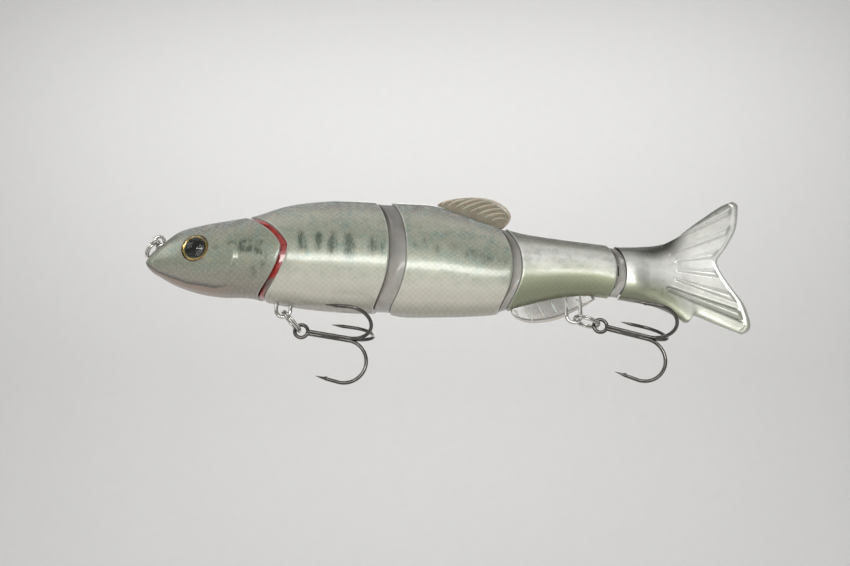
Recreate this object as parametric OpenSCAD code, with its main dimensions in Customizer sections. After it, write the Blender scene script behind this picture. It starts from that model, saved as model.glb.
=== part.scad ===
// Five-section swimbait: hollow moulded sections joined by upright hinge pins, with two treble hooks.
// X runs from the nose to the tail, Z is up and -Y is the fish's left flank.
// Shapes are laid out from the nose tip, then moved so that the line tie's eye is the origin.

/* [Body] */
// Length from the nose to the tail tips
body_length = 165; // [150:1:200]
// Depth of the deepest section
body_depth = 33; // [28:0.5:40]
// Width of the widest section
body_width = 20; // [17:0.5:24]
// Squareness of a section: 2 is an ellipse
roundness = 2.3; // [2:0.1:2.6]
// Wall of the moulded shells
wall = 1.3; // [1:0.1:1.6]
// How far the bare hinge noses lie under the painted skin
nose_inset = 0.5; // [0.3:0.05:0.7]
// Length of a nose's plug inside its shells
plug_length = 5; // [4:0.5:7]

/* [Joints] */
// Middle of the head's rear edge
gill_rim = 37.9; // [36:0.1:40]
// Open band behind the head
gill_gap = 1.8; // [1.8:0.1:2.4]
// Middle of the front section's rear edge
front_rim = 66.8; // [64:0.1:70]
// Open band behind the front section
front_gap = 4.6; // [4.6:0.1:5.6]
// Middle of the middle section's rear edge
mid_rim = 99.8; // [97:0.1:102]
// Open band behind the middle section
mid_gap = 2.6; // [2.6:0.1:3.2]
// Middle of the rear section's rear edge
tail_rim = 128.2; // [126:0.1:131]
// Open band behind the rear section
tail_gap = 2.6; // [2.6:0.1:3.2]
// Radius of the hinge pins
pin_r = 1; // [0.8:0.05:1.2]
// Radius of the smaller pin at the tail
tail_pin_r = 0.8; // [0.6:0.05:0.9]
// Running clearance of a tongue on its pin
pin_play = 0.06; // [0.02:0.01:0.1]
// Thickness of the hinge tongues
tongue_t = 2; // [1.5:0.1:2.4]
// Width of the hinge tongues
tongue_w = 5; // [4:0.1:5.6]
// Width of the smaller tongue at the tail
tail_tongue_w = 3.2; // [2.8:0.1:3.6]
// Thickness of the bulkheads that carry the tongues
bulkhead_t = 1.5; // [1.2:0.1:2]
// Gap between pieces that swing past each other
swing_gap = 0.35; // [0.3:0.05:0.5]

/* [Eyes] */
// Distance of the eyes from the nose
eye_x = 14.5; // [13.5:0.1:16]
// Radius of an eye
eye_r = 3.8; // [3.4:0.1:4.2]
// Depth of the eye's seat in the skin
eye_seat = 0.9; // [0.8:0.05:1]
// Height of the clear dome over the iris
lens_h = 1.5; // [1.2:0.1:1.8]

/* [Fins] */
// Thickness of the back and belly fins
fin_t = 1.6; // [1.6:0.1:2]
// Height of the back fin above the skin
dorsal_h = 6; // [5:0.5:7.5]
// Depth of the belly fin below the skin
anal_h = 5.6; // [5:0.5:7]
// Tip-to-tip spread of the tail fin
tail_span = 39; // [34:1:46]

/* [Wire and rings] */
// Radius of the wire of the line tie and the hook hangers
wire_r = 0.55; // [0.45:0.05:0.65]
// How far the front hook hanger drops below the belly
front_drop = 3.4; // [3:0.1:4.2]
// How far the rear hook hanger drops below the belly
rear_drop = 7.2; // [6.8:0.1:8.4]
// Mean radius of the two hook rings
ring_r = 3.5; // [3:0.1:4.2]
// Mean radius of the line tie's ring
tie_ring_r = 2.6; // [2.3:0.1:3.1]
// Radius of the split rings' wire
coil_r = 0.36; // [0.3:0.02:0.4]

/* [Treble hooks] */
// Radius of the hook wire
hook_wire_r = 0.5; // [0.4:0.02:0.58]
// Radius of the hole in a hook's eye
hook_eye_r = 1.25; // [1.15:0.05:1.5]
// Length from the eye to the start of the bends
shank_length = 13; // [11:0.5:16]
// Radius of the bends
bend_r = 6; // [5:0.1:7]
// Length of a straight point
point_length = 6.3; // [5:0.1:7.6]

/* [Hidden] */

// Outlines along the body: share of the length, then share of the depth or width
back_line = [[0, 0], [0.005, 0.045], [0.0135, 0.09], [0.03, 0.165], [0.057, 0.262], [0.097, 0.315],
    [0.13, 0.343], [0.168, 0.374], [0.187, 0.396], [0.227, 0.465], [0.265, 0.5], [0.321, 0.52],
    [0.394, 0.503], [0.436, 0.494], [0.479, 0.478], [0.509, 0.43], [0.539, 0.375], [0.579, 0.3],
    [0.611, 0.248], [0.638, 0.217], [0.697, 0.17], [0.756, 0.13], [0.79, 0.105], [0.846, 0.103]];
belly_line = [[0, -0.02], [0.005, -0.058], [0.018, -0.103], [0.049, -0.19], [0.087, -0.257],
    [0.124, -0.29], [0.176, -0.307], [0.198, -0.338], [0.235, -0.378], [0.29, -0.415], [0.345, -0.438],
    [0.4, -0.448], [0.424, -0.474], [0.479, -0.479], [0.57, -0.464], [0.606, -0.42], [0.654, -0.36],
    [0.692, -0.324], [0.739, -0.315], [0.772, -0.336], [0.79, -0.35], [0.846, -0.41]];
width_line = [[0, 0.1], [0.005, 0.2], [0.0135, 0.3], [0.03, 0.44], [0.055, 0.575], [0.088, 0.695],
    [0.121, 0.785], [0.164, 0.865], [0.2, 0.925], [0.242, 0.98], [0.303, 1], [0.364, 0.995],
    [0.424, 0.95], [0.485, 0.88], [0.545, 0.78], [0.594, 0.68], [0.642, 0.58], [0.697, 0.49],
    [0.752, 0.415], [0.794, 0.36], [0.846, 0.28]];

// Shape of a section's edge: sweep forward at the back and at the belly, and how each starts
gill_sweep = [11.6, 6.8, 1.1, 1.5];
front_sweep = [4.4, 4.6, 2, 2];
mid_sweep = [4, 4, 2, 2];
tail_sweep = [2.4, 2.4, 2, 2];

// Places in a joint's record
RIM = 0;
GAP = 1;
SWEEP = 2;
PIN_X = 3;
PIN_R = 4;
TONGUE_W = 5;
SWING = 6;

// Each pin stands a little behind the middle of its rim and swings this far to either side, in degrees
gill_joint = [gill_rim, gill_gap, gill_sweep, gill_rim + 0.1, pin_r, tongue_w, 7];
front_joint = [front_rim, front_gap, front_sweep, front_rim + 4, pin_r, tongue_w, 22];
mid_joint = [mid_rim, mid_gap, mid_sweep, mid_rim + 2.5, pin_r, tongue_w, 18];
tail_joint = [tail_rim, tail_gap, tail_sweep, tail_rim + 1.8, tail_pin_r, tail_tongue_w, 25];

// Clearances between pieces that are fixed to each other
seat_gap = 0.05;
plug_gap = 0.15;
bulkhead_gap = 0.2;

// Fineness and closed ends of the lofted bodies
nose_start = 0.25;
nose_core = 0.2;
nose_flat = 1;
nose_steps = 7;
keel = 0.06;
tail_edge = 0.3;
rib_points = 15;

eye_gap = 0.05;
iris_t = 0.5;
eye_height = 0.0545;

// Line tie: where its stem leaves the back, and how it leans
eyelet_r = 1.35;
stem_x = 4.9;
stem_tilt = 24;
stem_out = 2.1;
stem_in = 7;

// Hook hangers: the front one straddles the gill pin
hanger_r = 1.9;
front_hanger_x = gill_joint[PIN_X];
rear_hanger_x = mid_rim + 16.5;
leg_in = 5;

// Split rings: half the distance between their two turns, and the play in a hanger
coil_shift = 0.28;
ring_play = 0.1;

// Treble hooks
prongs = 3;
eye_hang = 0.35;
shank_r = 0.85;
shank_past = 2;
bend_offset = 0.2;
point_rise = 6;
point_cone = 3.4;
point_step = 0.02;
point_overlap = 0.25;
tip_r = 0.05;
barb_r = 0.27;
barb_out = 0.1;
barb_length = 1.6;

// How the hanging pieces lie at rest, in degrees up from the X axis
tie_ring_tilt = -124;
front_ring_tilt = -48;
rear_ring_tilt = -18;
front_hook_tilt = -10;
rear_hook_tilt = -15;

// Ballast rods
ballast_lift = 0.4;
belly_weight_r = 3.5;
mid_weight_r = 2.6;
mid_weight_length = 14;

// Fins: where they meet the body, and the thicker root inside the shells
dorsal_front = front_rim + 13.2;
dorsal_rear = mid_rim - 4.4;
anal_front = mid_rim - 0.4;
anal_rear = tail_rim - 7.2;
root_gap = 0.5;
root_depth = 3;
root_t = 2.4;

// Smooth curve through points of rising first value
function segment_of(p, x, i = 0) = i >= len(p) - 2 || x < p[i + 1][0] ? i : segment_of(p, x, i + 1);
function slope_at(p, i) =
    let (a = p[max(i - 1, 0)], b = p[min(i + 1, len(p) - 1)])
    (b[1] - a[1]) / (b[0] - a[0]);
function smooth(p, x) =
    let (i = segment_of(p, x), a = p[i], b = p[i + 1], d = b[0] - a[0], t = min(max((x - a[0]) / d, 0), 1))
    (2 * t ^ 3 - 3 * t ^ 2 + 1) * a[1] + (t ^ 3 - 2 * t ^ 2 + t) * slope_at(p, i) * d
    + (3 * t ^ 2 - 2 * t ^ 3) * b[1] + (t ^ 3 - t ^ 2) * slope_at(p, i + 1) * d;

function back_z(x) = smooth(back_line, x / body_length) * body_depth;
function belly_z(x) = smooth(belly_line, x / body_length) * body_depth;
function half_width(x) = smooth(width_line, x / body_length) * body_width / 2;
function centre_z(x) = (back_z(x) + belly_z(x)) / 2;

// A point of the skin, or of a surface inset from it; a is -90 at the belly and 90 at the back
function bulge(s) = sign(s) * abs(s) ^ (2 / roundness);
function skin(x, a, inset = 0) =
    let (h = (back_z(x) - belly_z(x)) / 2)
    [x, max(half_width(x) - inset, 0) * bulge(cos(a)),
        centre_z(x) + max(h - inset, nose_core * h) * bulge(sin(a))];
function edge_x(middle, sweep, a) =
    let (s = sin(a))
    middle - (s > 0 ? sweep[0] * s ^ sweep[2] : sweep[1] * (-s) ^ sweep[3]);
function rib_angle(j) = -90 + 180 * j / (rib_points - 1);

// Solid through loops of equal length; each end is closed by a strip between facing points
module loft(loops) {
    n = len(loops[0]);
    last = (len(loops) - 1) * n;
    sides = [for (i = [0:len(loops) - 2], j = [0:n - 1])
        let (a = i * n + j, b = i * n + (j + 1) % n)
        each [[a, b, b + n], [a, b + n, a + n]]];
    strips = [for (j = [0:n / 2 - 2])
        let (a = j, b = j + 1, c = n - 2 - j, d = n - 1 - j)
        each [[a, c, b], [a, d, c], [last + a, last + b, last + c], [last + a, last + c, last + d]]];
    polyhedron([for (loop = loops) each loop], concat(sides, strips));
}

module from_line_tie() {
    translate([-tie_eye[0], 0, -tie_eye[2]]) children();
}

module left_or_right(side) {
    if (side > 0)
        mirror([0, 1, 0]) children();
    else
        children();
}

// Half of a hollow section between two edges: outer skin up, inner skin down
function shell_loop(front, front_sweep, rear, rear_sweep, share) = [
    for (layer = [0, 1], k = [0:rib_points - 1])
    let (
        a = rib_angle(layer == 0 ? k : rib_points - 1 - k),
        x = edge_x(front, front_sweep, a) * (1 - share) + edge_x(rear, rear_sweep, a) * share,
        p = skin(x, a, layer * wall))
    [p[0], -p[1], p[2]]];
module half_shell(front, front_sweep, rear, rear_sweep, steps, crowd = 1) {
    loft([for (i = [0:steps]) shell_loop(front, front_sweep, rear, rear_sweep, (i / steps) ^ crowd)]);
}

// Largest radius about the pin that turns inside the section in front of it, for each height
function rim_reach(joint, inset) = [
    for (j = [0:rib_points - 1])
    let (
        a = rib_angle(j),
        p = skin(edge_x(joint[RIM], joint[SWEEP], a), a, inset))
    [p[2], norm([p[0] - joint[PIN_X], p[1]]) - swing_gap]];
function barrel(joint) =
    let (inner = rim_reach(joint, wall))
    [for (row = rim_reach(joint, 0)) [row[0], min(row[1], lookup(row[0], inner))]];
function barrel_reach(joint) = max([for (row = barrel(joint)) row[1]]);

// A loop of section points on both flanks; the keel is the narrow flat that closes it above and below
function both_flanks(points) = concat(
    [for (p = points) [p[0], -max(p[1], keel), p[2]]],
    [for (k = [len(points) - 1:-1:0]) [points[k][0], max(points[k][1], keel), points[k][2]]]);

// A hinge nose: under the skin, and never wider than the barrel that turns about the pin
function in_barrel(p, joint) =
    let (r = lookup(p[2], barrel(joint)), d = p[0] - joint[PIN_X])
    [p[0], min(p[1], sqrt(max(r * r - d * d, 0))), p[2]];
function nose_loop(joint, end, share) = both_flanks([
    for (j = [0:rib_points - 1])
    let (
        a = rib_angle(j),
        r = lookup(skin(joint[PIN_X], a, nose_inset)[2], barrel(joint)),
        front = joint[PIN_X] - sqrt(r * r - nose_flat * nose_flat),
        x = front * (1 - share) + edge_x(end, joint[SWEEP], a) * share)
    in_barrel(skin(x, a, nose_inset), joint)]);
function band_loop(joint, end, inset, along = 0) = both_flanks([
    for (j = [0:rib_points - 1])
    skin(edge_x(end, joint[SWEEP], rib_angle(j)) + along, rib_angle(j), inset)]);
function nose_loops(joint) =
    let (end = joint[RIM] + joint[GAP] - plug_gap)
    [for (i = [0:nose_steps]) nose_loop(joint, end, i / nose_steps)];

// Room for a tongue that swings about the pin, and the bore for the pin
module tongue_room(joint) {
    far = barrel_reach(joint) + 1;
    half = joint[TONGUE_W] / 2 + swing_gap;
    side = far * tan(joint[SWING]) + half;
    translate([joint[PIN_X], 0, centre_z(joint[PIN_X]) - tongue_t / 2 - swing_gap])
        linear_extrude(tongue_t + 2 * swing_gap) {
            circle(half, $fn = 48);
            polygon([[0, -half], [0, half], [-far, side], [-far, -side]]);
        }
}
module pin_hole(joint, clearance) {
    translate([joint[PIN_X], 0, -body_depth])
        cylinder(r = joint[PIN_R] + clearance, h = 2 * body_depth, $fn = 48);
}

module hinge_block(joint) {
    end = joint[RIM] + joint[GAP] - plug_gap;
    difference() {
        loft(concat(nose_loops(joint),
            [for (along = [0, plug_length]) band_loop(joint, end, wall + plug_gap, along)]));
        tongue_room(joint);
        pin_hole(joint, seat_gap / 2);
    }
}

// A pin as long as the inside of its section
module hinge_pin(joint) {
    x = joint[PIN_X];
    low = belly_z(x) + wall + swing_gap;
    translate([x, 0, low])
        cylinder(r = joint[PIN_R], h = back_z(x) - wall - swing_gap - low, $fn = 48);
}

// A bulkhead across the section with the tongue that reaches back to the next section's pin
function bulkhead_front(joint) = joint[PIN_X] - barrel_reach(joint) - 2 * swing_gap - bulkhead_t;
module tongue(joint) {
    pin_x = joint[PIN_X];
    front = bulkhead_front(joint);
    narrow = half_width(front) < half_width(front + bulkhead_t) ? front : front + bulkhead_t;
    rim = both_flanks([for (j = [0:rib_points - 1]) skin(narrow, rib_angle(j), wall + bulkhead_gap)]);
    difference() {
        union() {
            translate([front, 0, 0])
                rotate([90, 0, 90])
                    linear_extrude(bulkhead_t)
                        polygon([for (p = rim) [p[1], p[2]]]);
            translate([front, -joint[TONGUE_W] / 2, centre_z(pin_x) - tongue_t / 2])
                cube([pin_x - front, joint[TONGUE_W], tongue_t]);
            translate([pin_x, 0, centre_z(pin_x) - tongue_t / 2])
                cylinder(r = joint[TONGUE_W] / 2, h = tongue_t, $fn = 48);
        }
        pin_hole(joint, pin_play);
    }
}

// Eyes: a flat seat turned to the skin, an iris disc and a clear dome
eye_z = eye_height * body_depth;
eye_turn = atan((half_width(eye_x + eye_r) - half_width(eye_x - eye_r)) / (2 * eye_r));
eye_angle = asin(bulge_back((eye_z - centre_z(eye_x)) / ((back_z(eye_x) - belly_z(eye_x)) / 2)));
function bulge_back(s) = sign(s) * abs(s) ^ (roundness / 2);
module at_eye(side, depth) {
    left_or_right(side)
        translate(skin_left(eye_x, eye_angle))
            rotate([90, 0, -eye_turn])
                translate([0, 0, depth])
                    children();
}
function skin_left(x, a) =
    let (p = skin(x, a))
    [p[0], -p[1], p[2]];

module eye_iris(side) {
    color("gold")
        from_line_tie()
            at_eye(side, -eye_seat)
                cylinder(r = eye_r, h = iris_t, $fn = 64);
}
module eye_lens(side) {
    dome_r = (eye_r ^ 2 + lens_h ^ 2) / (2 * lens_h);
    color("ghostwhite", 0.4)
        from_line_tie()
            at_eye(side, iris_t - eye_seat)
                intersection() {
                    translate([0, 0, lens_h - dome_r])
                        sphere(dome_r, $fn = 96);
                    cylinder(r = eye_r, h = lens_h + 1, $fn = 64);
                }
}

// Line tie: a closed eye on a stem through the top of the nose
tie_eye = [stem_x - stem_out * cos(stem_tilt), 0, back_z(stem_x) + stem_out * sin(stem_tilt)];
module tie_stem(r) {
    translate(tie_eye)
        rotate([0, 90 + stem_tilt, 0])
            translate([0, 0, eyelet_r])
                cylinder(r = r, h = stem_out + stem_in - eyelet_r, $fn = 32);
}
module wire_ring(mean_r, r) {
    rotate([90, 0, 0])
        rotate_extrude($fn = 64)
            translate([mean_r, 0])
                circle(r, $fn = 32);
}
module line_tie_eyelet() {
    color("silver")
        from_line_tie() {
            translate(tie_eye)
                wire_ring(eyelet_r, wire_r);
            tie_stem(wire_r);
        }
}

// A split ring through near, tilted down from the X axis, with its two turns side by side
module split_ring(near, mean_r, tilt) {
    translate(near)
        rotate([0, -tilt, 0])
            translate([mean_r, 0, 0])
                rotate_extrude($fn = 64)
                    translate([mean_r, 0])
                        for (shift = [-coil_shift, coil_shift])
                            translate([0, shift])
                                circle(coil_r, $fn = 32);
}
tie_ring_near = tie_eye + ring_play * [cos(tie_ring_tilt), 0, sin(tie_ring_tilt)];

module head_shell(side) {
    color("darkseagreen")
        from_line_tie()
            difference() {
                left_or_right(side)
                    half_shell(nose_start, [0, 0, 1, 1], gill_rim, gill_sweep, 14, 1.5);
                at_eye(side, -eye_seat)
                    cylinder(r = eye_r + eye_gap, h = 5, $fn = 64);
                tie_stem(wire_r + seat_gap / 2);
            }
}
module gill_tongue() {
    color("gray")
        from_line_tie()
            tongue(gill_joint);
}
module front_tongue() {
    color("gray")
        from_line_tie()
            tongue(front_joint);
}
module mid_tongue() {
    color("gray")
        from_line_tie()
            tongue(mid_joint);
}
module tail_tongue() {
    color("gray")
        from_line_tie()
            tongue(tail_joint);
}

module gill_hinge_block() {
    color("firebrick")
        from_line_tie()
            difference() {
                hinge_block(gill_joint);
                hanger_legs(front_hanger_x, front_hanger_z, front_leg_top + plug_gap, wire_r + seat_gap / 2);
            }
}
module front_hinge_block() {
    color("tan")
        from_line_tie()
            hinge_block(front_joint);
}
module mid_hinge_block() {
    color("tan")
        from_line_tie()
            hinge_block(mid_joint);
}

module gill_pin() {
    color("silver")
        from_line_tie()
            hinge_pin(gill_joint);
}
module front_pin() {
    color("silver")
        from_line_tie()
            hinge_pin(front_joint);
}
module mid_pin() {
    color("silver")
        from_line_tie()
            hinge_pin(mid_joint);
}
module tail_pin() {
    color("silver")
        from_line_tie()
            hinge_pin(tail_joint);
}

// Hook hangers: a staple whose legs go up through the belly seam
front_hanger_z = belly_z(front_hanger_x) - front_drop;
rear_hanger_z = belly_z(rear_hanger_x) - rear_drop;
module hanger_legs(x, z, top, r) {
    for (leg_x = [x - hanger_r, x + hanger_r])
        translate([leg_x, 0, z + hanger_r])
            cylinder(r = r, h = top - z - hanger_r, $fn = 32);
}
module hanger(x, z, top) {
    hanger_legs(x, z, top, wire_r);
    translate([x, 0, z + hanger_r])
        rotate([90, 0, 0])
            rotate_extrude(angle = -180, $fn = 64)
                translate([hanger_r, 0])
                    circle(wire_r, $fn = 32);
}
front_leg_top = belly_z(front_hanger_x) + leg_in;
rear_leg_top = belly_z(rear_hanger_x) + leg_in;
module front_hook_hanger() {
    color("silver")
        from_line_tie()
            hanger(front_hanger_x, front_hanger_z, front_leg_top);
}
module rear_hook_hanger() {
    color("silver")
        from_line_tie()
            hanger(rear_hanger_x, rear_hanger_z, rear_leg_top);
}

module front_shell(side) {
    color("darkseagreen")
        from_line_tie()
            difference() {
                left_or_right(side)
                    half_shell(gill_rim + gill_gap, gill_sweep, front_rim, front_sweep, 11);
                hanger_legs(front_hanger_x, front_hanger_z, front_leg_top, wire_r + seat_gap / 2);
            }
}
module mid_shell(side) {
    color("darkseagreen")
        from_line_tie()
            difference() {
                left_or_right(side)
                    half_shell(front_rim + front_gap, front_sweep, mid_rim, mid_sweep, 11);
                fin_slot(dorsal_front, dorsal_rear, fin_t + 2 * seat_gap, -1, back_z(dorsal_front) + 1);
            }
}
module rear_shell(side) {
    color("darkseagreen")
        from_line_tie()
            difference() {
                left_or_right(side)
                    half_shell(mid_rim + mid_gap, mid_sweep, tail_rim, tail_sweep, 10);
                fin_slot(anal_front, anal_rear, fin_t + 2 * seat_gap, belly_z(anal_front) - 1, 1);
            }
}

// Ballast rods lie along the belly
module ballast(front, length, r) {
    slope = (belly_z(front + length) - belly_z(front)) / length;
    translate([front, 0, belly_z(front) + wall + r + ballast_lift])
        rotate([0, 90 - atan(slope), 0])
            cylinder(r = r, h = length, $fn = 48);
}
belly_weight_front = gill_rim + gill_gap + plug_length - 1;
belly_weight_rear = bulkhead_front(front_joint) - 3 * bulkhead_gap;
module belly_weight() {
    color("dimgray")
        from_line_tie()
            ballast(belly_weight_front, belly_weight_rear - belly_weight_front, belly_weight_r);
}
module mid_weight() {
    color("dimgray")
        from_line_tie()
            ballast(front_rim + front_gap + plug_length + 1, mid_weight_length, mid_weight_r);
}

// Fins: a plate with a thicker root held inside the seam
dorsal_root = bulkhead_front(mid_joint) - bulkhead_gap;
anal_root = mid_rim + mid_gap + plug_length + 1;
module fin_slot(front, rear, thick, low, high) {
    translate([front - seat_gap, -thick / 2, low])
        cube([rear - front + 2 * seat_gap, thick, high - low]);
}
module fin_plate(outline, thick) {
    translate([0, thick / 2, 0])
        rotate([90, 0, 0])
            linear_extrude(thick)
                polygon(outline);
}
function along_back(front, rear, inset, steps) = [
    for (i = [0:steps])
    let (x = front + (rear - front) * i / steps)
    [x, back_z(x) - inset]];
function along_belly(front, rear, inset, steps) = [
    for (i = [0:steps])
    let (x = front + (rear - front) * i / steps)
    [x, belly_z(x) + inset]];
function reversed(points) = [for (k = [len(points) - 1:-1:0]) points[k]];

// Rise of the back fin and drop of the belly fin: share of the root, share of the height
dorsal_edge = [[0, 0.08], [0.12, 0.42], [0.4, 0.86], [0.68, 1.2], [0.96, 1.42], [1.16, 1.34], [1.29, 1.12],
    [1.33, 0.82], [1.25, 0.4], [1.1, 0.1], [1, 0.02]];
module dorsal_fin() {
    root = dorsal_rear - dorsal_front;
    blade = [for (e = dorsal_edge) [dorsal_front + root * e[0],
        back_z(min(dorsal_front + root * e[0], dorsal_rear)) + dorsal_h * e[1]]];
    color("wheat")
        from_line_tie() {
            fin_plate(concat(blade, reversed(along_back(dorsal_root, dorsal_rear, wall - seat_gap, 1)),
                reversed(along_back(dorsal_front, dorsal_root, wall + 1, 6))), fin_t);
            fin_plate(concat(along_back(dorsal_front, dorsal_root, wall + root_gap, 6),
                reversed(along_back(dorsal_front, dorsal_root, wall + root_depth, 6))), root_t);
        }
}
anal_edge = [[0, 0.15], [0.04, 0.42], [0.24, 0.93], [0.45, 1.05], [0.74, 0.75], [0.98, 0.35], [1.07, 0.08],
    [1, 0.01]];
module anal_fin() {
    root = anal_rear - anal_front;
    blade = [for (e = anal_edge) [anal_front + root * e[0],
        belly_z(min(anal_front + root * e[0], anal_rear)) - anal_h * e[1]]];
    color("gainsboro")
        from_line_tie()
            difference() {
                union() {
                    fin_plate(concat(blade, reversed(along_belly(anal_root, anal_rear, wall + 1, 6)),
                        reversed(along_belly(anal_front, anal_root, wall - seat_gap, 3))), fin_t);
                    fin_plate(concat(along_belly(anal_root, anal_rear, wall + root_gap, 6),
                        reversed(along_belly(anal_root, anal_rear, wall + root_depth, 6))), root_t);
                }
                hanger_legs(rear_hanger_x, rear_hanger_z, rear_leg_top + 1, wire_r + seat_gap / 2);
            }
}

// Tail: hinge nose, stem and forked fin in one moulding
// Stations: share of the length behind the band for the top, bottom and middle, then top and bottom heights
// as shares of the spread, and half the thickness
tail_stations = [[0.1, 0.1, 0.1, 0.088, -0.318, 3.1], [0.2, 0.2, 0.2, 0.091, -0.342, 2.5],
    [0.3, 0.32, 0.3, 0.106, -0.385, 2.0], [0.42, 0.44, 0.4, 0.152, -0.449, 1.6],
    [0.5, 0.475, 0.45, 0.2, -0.405, 1.35], [0.6, 0.55, 0.52, 0.269, -0.412, 1.1],
    [0.8, 0.73, 0.62, 0.395, -0.487, 0.85], [0.93, 0.87, 0.7, 0.441, -0.534, 0.65],
    [0.965, 0.945, 0.735, 0.45, -0.55, 0.5]];
function tail_loop(s) =
    let (start = tail_rim + tail_gap, length = body_length - start, middle_z = -0.05 * tail_span)
    both_flanks([for (j = [0:rib_points - 1])
        let (
            a = rib_angle(j),
            up = a > 0,
            share = abs(sin(a)),
            reach = 1 - (1 - share) ^ 2,
            x = s[2] + ((up ? s[0] : s[1]) - s[2]) * reach,
            z = middle_z + ((up ? s[3] : s[4]) * tail_span - middle_z) * share)
        [start + length * x, max(s[5] * bulge(cos(a)), tail_edge), z]]);
module tail() {
    color("silver")
        from_line_tie()
            difference() {
                loft(concat(nose_loops(tail_joint), [band_loop(tail_joint, tail_rim + tail_gap, 0)],
                    [for (s = tail_stations) tail_loop(s)]));
                tongue_room(tail_joint);
                pin_hole(tail_joint, seat_gap / 2);
            }
}

// Treble hooks: three round bends on one shank, hung by an eye whose hole faces across the fish
module prong(turn) {
    rotate([turn, 0, 0])
        translate([shank_length, 0, -bend_offset - bend_r])
            rotate([-90, 0, 0]) {
                rotate([0, 0, -90])
                    rotate_extrude(angle = 180 + point_rise, $fn = 96)
                        translate([bend_r, 0])
                            circle(hook_wire_r, $fn = 32);
                rotate([0, 0, 90 + point_rise])
                    translate([bend_r, 0, 0])
                        rotate([-90, 0, 0])
                            barbed_point();
            }
}
// The straight end starts a little inside the bend, and its barb stands on the side of the shank
module barbed_point() {
    r = hook_wire_r - point_step;
    straight = point_length - point_cone;
    translate([0, 0, -point_overlap])
        cylinder(r = r, h = straight + point_overlap, $fn = 32);
    translate([0, 0, straight])
        cylinder(r1 = r, r2 = tip_r, h = point_cone, $fn = 32);
    translate([-barb_out, 0, straight + barb_r])
        rotate([0, 160, 0])
            mirror([1, 0, 0])
                cylinder(r1 = barb_r, r2 = tip_r, h = barb_length, $fn = 24);
}
module treble(pivot, tilt) {
    translate(pivot)
        rotate([0, -tilt, 0])
            translate([eye_hang, 0, 0]) {
                wire_ring(hook_eye_r + hook_wire_r, hook_wire_r);
                translate([hook_eye_r + hook_wire_r, 0, 0])
                    rotate([0, 90, 0])
                        cylinder(r = shank_r, h = shank_length + shank_past - hook_eye_r - hook_wire_r, $fn = 48);
                for (k = [0:prongs - 1])
                    prong(k * 360 / prongs);
            }
}
ring_seat = wire_r + coil_r + coil_shift + ring_play;
front_ring_near = [front_hanger_x, 0, front_hanger_z + ring_seat];
rear_ring_near = [rear_hanger_x, 0, rear_hanger_z + ring_seat];
function ring_far(near, tilt) = near + 2 * ring_r * [cos(tilt), 0, sin(tilt)];

module line_tie_ring() {
    color("silver")
        from_line_tie()
            split_ring(tie_ring_near, tie_ring_r, tie_ring_tilt);
}
module front_hook_ring() {
    color("silver")
        from_line_tie()
            split_ring(front_ring_near, ring_r, front_ring_tilt);
}
module rear_hook_ring() {
    color("silver")
        from_line_tie()
            split_ring(rear_ring_near, ring_r, rear_ring_tilt);
}
module front_treble_hook() {
    color("darkslategray")
        from_line_tie()
            treble(ring_far(front_ring_near, front_ring_tilt), front_hook_tilt);
}
module rear_treble_hook() {
    color("darkslategray")
        from_line_tie()
            treble(ring_far(rear_ring_near, rear_ring_tilt), rear_hook_tilt);
}

head_shell(-1);  // head_shell_left
head_shell(1);  // head_shell_right
eye_iris(-1);  // eye_iris_left
eye_iris(1);  // eye_iris_right
eye_lens(-1);  // eye_lens_left
eye_lens(1);  // eye_lens_right
line_tie_eyelet();
line_tie_ring();
gill_tongue();
front_shell(-1);  // front_shell_left
front_shell(1);  // front_shell_right
gill_hinge_block();
gill_pin();
front_tongue();
belly_weight();
front_hook_hanger();
mid_shell(-1);  // mid_shell_left
mid_shell(1);  // mid_shell_right
front_hinge_block();
front_pin();
mid_tongue();
mid_weight();
dorsal_fin();
rear_shell(-1);  // rear_shell_left
rear_shell(1);  // rear_shell_right
mid_hinge_block();
mid_pin();
tail_tongue();
anal_fin();
rear_hook_hanger();
tail();
tail_pin();
front_hook_ring();
front_treble_hook();
rear_hook_ring();
rear_treble_hook();
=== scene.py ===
import math

import bmesh
import bpy
import numpy as np
from mathutils import Matrix, Vector


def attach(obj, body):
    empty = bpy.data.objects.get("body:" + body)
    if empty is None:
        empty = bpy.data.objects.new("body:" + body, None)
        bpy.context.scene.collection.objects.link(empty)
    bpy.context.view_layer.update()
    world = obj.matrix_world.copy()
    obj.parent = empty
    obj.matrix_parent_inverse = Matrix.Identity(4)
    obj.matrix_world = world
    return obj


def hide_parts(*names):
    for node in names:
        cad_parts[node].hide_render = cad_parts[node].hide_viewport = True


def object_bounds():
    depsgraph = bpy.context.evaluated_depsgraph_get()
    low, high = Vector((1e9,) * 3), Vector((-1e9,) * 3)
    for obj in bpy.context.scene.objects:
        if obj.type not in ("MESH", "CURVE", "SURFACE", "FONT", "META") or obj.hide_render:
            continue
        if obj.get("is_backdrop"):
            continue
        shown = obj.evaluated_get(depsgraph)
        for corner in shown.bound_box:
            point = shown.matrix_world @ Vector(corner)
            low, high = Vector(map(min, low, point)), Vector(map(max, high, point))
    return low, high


# looks of a jointed swimbait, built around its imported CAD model
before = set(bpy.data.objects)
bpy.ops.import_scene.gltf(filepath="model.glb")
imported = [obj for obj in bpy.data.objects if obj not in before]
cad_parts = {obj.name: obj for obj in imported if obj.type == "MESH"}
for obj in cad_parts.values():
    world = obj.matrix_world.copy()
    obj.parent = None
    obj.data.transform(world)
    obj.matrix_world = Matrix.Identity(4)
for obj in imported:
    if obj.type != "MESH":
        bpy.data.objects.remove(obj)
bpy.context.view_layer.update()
print("frame loaded,", len(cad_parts), "nodes")

mm = 0.001

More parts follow.
